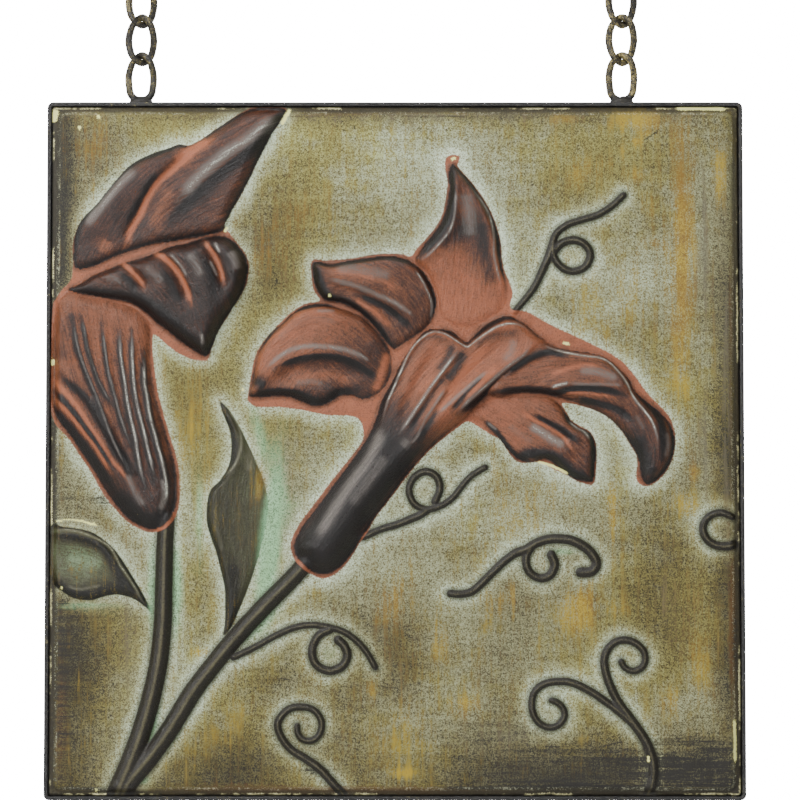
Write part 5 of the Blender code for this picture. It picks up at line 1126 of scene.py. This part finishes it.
def barFrame():
    print("bending the frame")
    bm = uprightGrid(1, panel["side"] / 2, frameLow.y)
    bmesh.ops.bevel(bm, geom=bm.verts[:], offset=bar["cornerRadius"], segments=bar["cornerSteps"],
                    profile=0.5, affect="VERTICES", material=-1)
    bmesh.ops.delete(bm, geom=bm.faces[:], context="FACES_ONLY")
    sides = [edge for edge in bm.edges if edge.calc_length() > bar["cornerRadius"] * 4]
    bmesh.ops.subdivide_edges(bm, edges=sides, cuts=int(panel["side"] / bar["cell"]))
    wall = only(bmesh.types.BMVert, bmesh.ops.extrude_edge_only(bm, edges=bm.edges[:])["geom"])
    bmesh.ops.translate(bm, vec=(0, frameHigh.y - frameLow.y, 0), verts=wall)
    bmesh.ops.recalc_face_normals(bm, faces=bm.faces)
    paint = ironPaint("blackBarPaint", bar["paint"], bar["chip"], bar["chipped"])
    piece = addPiece("barFrame", bm, paint, "bar_frame")
    addModifier(piece, "barThickness", "SOLIDIFY", thickness=bar["thickness"], offset=-1,
                use_even_offset=True)
    addModifier(piece, "softEdges", "BEVEL", width=bar["edgeRound"], segments=bar["edgeSteps"],
                limit_method="ANGLE", angle_limit=bar["edgeSharperThan"])


link = {"wire": 0.003, "paintedWire": 0.00325, "length": 0.0231, "width": 0.0132, "bow": 0.0004,
        "twist": radians(45), "sides": 16, "bendSteps": 16, "legSteps": 16, "ringSteps": 64,
        "joinWithin": 0.00001, "paint": (24, 21, 16), "chip": (226, 206, 130), "chipped": 0.085}


def wireEnd(bm, diameter, place):  # the round end that a wire is drawn out from
    ring = bmesh.ops.create_circle(bm, segments=link["sides"], radius=diameter / 2)["verts"]
    bmesh.ops.translate(bm, vec=place, verts=ring)
    return list({edge for vert in ring for edge in vert.link_edges})


def wireLink(centre, twistAbove, twistBelow):
    bm = bmesh.new()
    bend = (link["width"] - link["wire"]) / 2
    straight = (link["length"] - link["width"]) / 2
    edges = wireEnd(bm, link["paintedWire"], (bend, 0, -straight))
    for direction in (1, -1):  # one leg and the bend at its end, twice
        for number in range(link["legSteps"]):
            grown = bmesh.ops.extrude_edge_only(bm, edges=edges)["geom"]
            verts = only(bmesh.types.BMVert, grown)
            step = direction * 2 * straight / link["legSteps"]
            bmesh.ops.translate(bm, vec=(0, 0, step), verts=verts)
            edges = [edge for edge in only(bmesh.types.BMEdge, grown)
                     if all(vert in verts for vert in edge.verts)]
        grown = bmesh.ops.spin(bm, geom=edges, cent=(0, 0, direction * straight), axis=(0, -1, 0),
                               dvec=(0, 0, 0), angle=pi, steps=link["bendSteps"],
                               use_duplicate=False)["geom_last"]
        edges = only(bmesh.types.BMEdge, grown)
    bmesh.ops.remove_doubles(bm, verts=bm.verts, dist=link["joinWithin"])
    for vert in bm.verts:
        share = max(-1, min(1, vert.co.z / straight))
        vert.co.x += (1 - share ** 2) * (link["bow"] if vert.co.x > 0 else -link["bow"])
        share = vert.co.z / (straight + bend)  # the twist runs on round the ends
        angle = -share * (twistAbove if share > 0 else twistBelow)
        vert.co = Matrix.Rotation(angle, 3, "Z") @ vert.co
        vert.co += centre
    bmesh.ops.recalc_face_normals(bm, faces=bm.faces)
    return bm


def hangingRing(centre, radius):
    bm = bmesh.new()
    edges = wireEnd(bm, link["wire"], (radius, 0, 0))
    bmesh.ops.spin(bm, geom=edges, cent=(0, 0, 0), axis=(0, 1, 0), dvec=(0, 0, 0), angle=2 * pi,
                   steps=link["ringSteps"], use_merge=True, use_duplicate=False)
    bmesh.ops.rotate(bm, cent=(0, 0, 0), matrix=Matrix.Rotation(link["twist"], 3, "Z"), verts=bm.verts)
    bmesh.ops.translate(bm, vec=centre, verts=bm.verts)
    bmesh.ops.remove_doubles(bm, verts=bm.verts, dist=link["joinWithin"])
    bmesh.ops.recalc_face_normals(bm, faces=bm.faces)
    return bm


weld = {"foot": (0.0108, 0.0076), "height": 0.0036, "lift": 0.0001, "lumps": 0.0005, "lumpsPerMetre": 420,
        "voxel": 0.00035, "smoothing": 3}


def addWeld(bm, x):  # a lumpy blob of weld metal round the foot of a link
    footZ = frameHigh.z + weld["lift"]
    for vert in bmesh.ops.create_icosphere(bm, subdivisions=4, radius=0.5)["verts"]:
        vert.co.x *= weld["foot"][0]
        vert.co.y *= weld["foot"][1]
        vert.co.z = max(0, vert.co.z * 2) * weld["height"]
        vert.co += Vector((x, 0, footZ))
        lump = noise.noise(vert.co * weld["lumpsPerMetre"]) * weld["lumps"]
        vert.co.z = max(footZ, vert.co.z + lump)


def meltTogether(piece):
    addModifier(piece, "meltTogether", "REMESH", mode="VOXEL", voxel_size=weld["voxel"],
                use_smooth_shade=True)
    addModifier(piece, "flow", "SMOOTH", iterations=weld["smoothing"], factor=0.5)


def chains():
    print("linking the chains")
    weldTop = frameHigh.z + weld["height"]  # the weld isn't chipped
    paint = ironPaint("chainPaint", link["paint"], link["chip"], link["chipped"], weldTop)
    for side in ("left", "right"):
        for part in ("welded_link", "link_1", "link_2", "hanging_ring"):
            node = f"chain_{side}_{part}"
            low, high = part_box(node)
            if part == "welded_link":
                x = (low.x + high.x) / 2  # the loose links hang straight above it
                bm = wireLink(Vector((x, 0, high.z - link["length"] / 2)), link["twist"], 0)
                addWeld(bm, x)
                meltTogether(addPiece(f"weldedLink{side.title()}", bm, paint, node))
            elif part == "hanging_ring":
                bm = hangingRing((low + high) / 2, (high.z - low.z - link["wire"]) / 2)
                addPiece(f"hangingRing{side.title()}", bm, paint, node)
            else:
                bm = wireLink(Vector((x, 0, (low.z + high.z) / 2)), link["twist"], link["twist"])
                addPiece(f"link{side.title()}{part[-1]}", bm, paint, node)


# The camera looks, from a little below, at a place with its x in metres and its v in percent of the side.
# A lamp has its offset from that place, its size in metres and its power in watts
camera = {"distance": 1.5, "belowDegrees": 3.4, "lookAt": (0.0022, 57.05), "lens": 154.6, "sensor": 36}
light = {"world": 0.26, "backdrop": 24.0, "floorHalf": 4, "floorDrop": 0.34, "floor": (0.86, 0.86, 0.86),
         "lamps": {"key": ((-0.9, -1.1, 0.75), 0.7, 38), "fill": ((1.3, -1.2, 0.1), 1.2, 6),
                   "top": ((0.1, -0.3, 1.3), 0.9, 8), "behind": ((0.9, 1.3, 0.5), 1.2, 12)}}


def aimed(name, data, offset, target):  # a camera or a lamp that looks at the target
    made = newObject(name, data)
    made.location = target + offset
    made.rotation_mode = "QUATERNION"
    made.rotation_quaternion = (-offset).to_track_quat("-Z", "Y")
    return made


def studio():
    print("setting the studio")
    target = Vector((camera["lookAt"][0], frameLow.y, frameLow.z + camera["lookAt"][1] / 100 * panel["side"]))
    below = radians(camera["belowDegrees"])
    eye = bpy.data.cameras.new("camera")
    eye.lens = camera["lens"]
    eye.sensor_width = camera["sensor"]
    offset = Vector((0, -cos(below), -sin(below))) * camera["distance"]
    bpy.context.scene.camera = aimed("camera", eye, offset, target)
    for name, (offset, size, power) in light["lamps"].items():
        lamp = bpy.data.lights.new(name, "AREA")
        lamp.size = size
        lamp.energy = power
        aimed(name, lamp, Vector(offset), target)

    bm = bmesh.new()
    bmesh.ops.create_grid(bm, x_segments=1, y_segments=1, size=light["floorHalf"])
    bmesh.ops.translate(bm, vec=(0, 0, cadLow.z - light["floorDrop"]), verts=bm.verts)
    floor = newObject("floor", newMesh("floor", bm))
    floor.data.materials.append(Paint("palePaper").finish(light["floor"], 0.9))

    world = bpy.data.worlds.new("studio")
    world.use_nodes = True
    tree = world.node_tree
    glow = tree.nodes["Background"]  # this light falls on the panel, and the camera sees a white wall
    glow.inputs["Color"].default_value = (1, 1, 1, 1)
    glow.inputs["Strength"].default_value = light["world"]
    wall = tree.nodes.new("ShaderNodeBackground")
    wall.inputs["Strength"].default_value = light["backdrop"]
    rays = tree.nodes.new("ShaderNodeLightPath")
    both = tree.nodes.new("ShaderNodeMixShader")
    for output, socket in ((rays.outputs["Is Camera Ray"], both.inputs[0]), (glow.outputs[0], both.inputs[1]),
                           (wall.outputs[0], both.inputs[2]),
                           (both.outputs[0], tree.nodes["World Output"].inputs["Surface"])):
        tree.links.new(output, socket)
    bpy.context.scene.world = world


lilySheet(makeMaps())
barFrame()
chains()
studio()
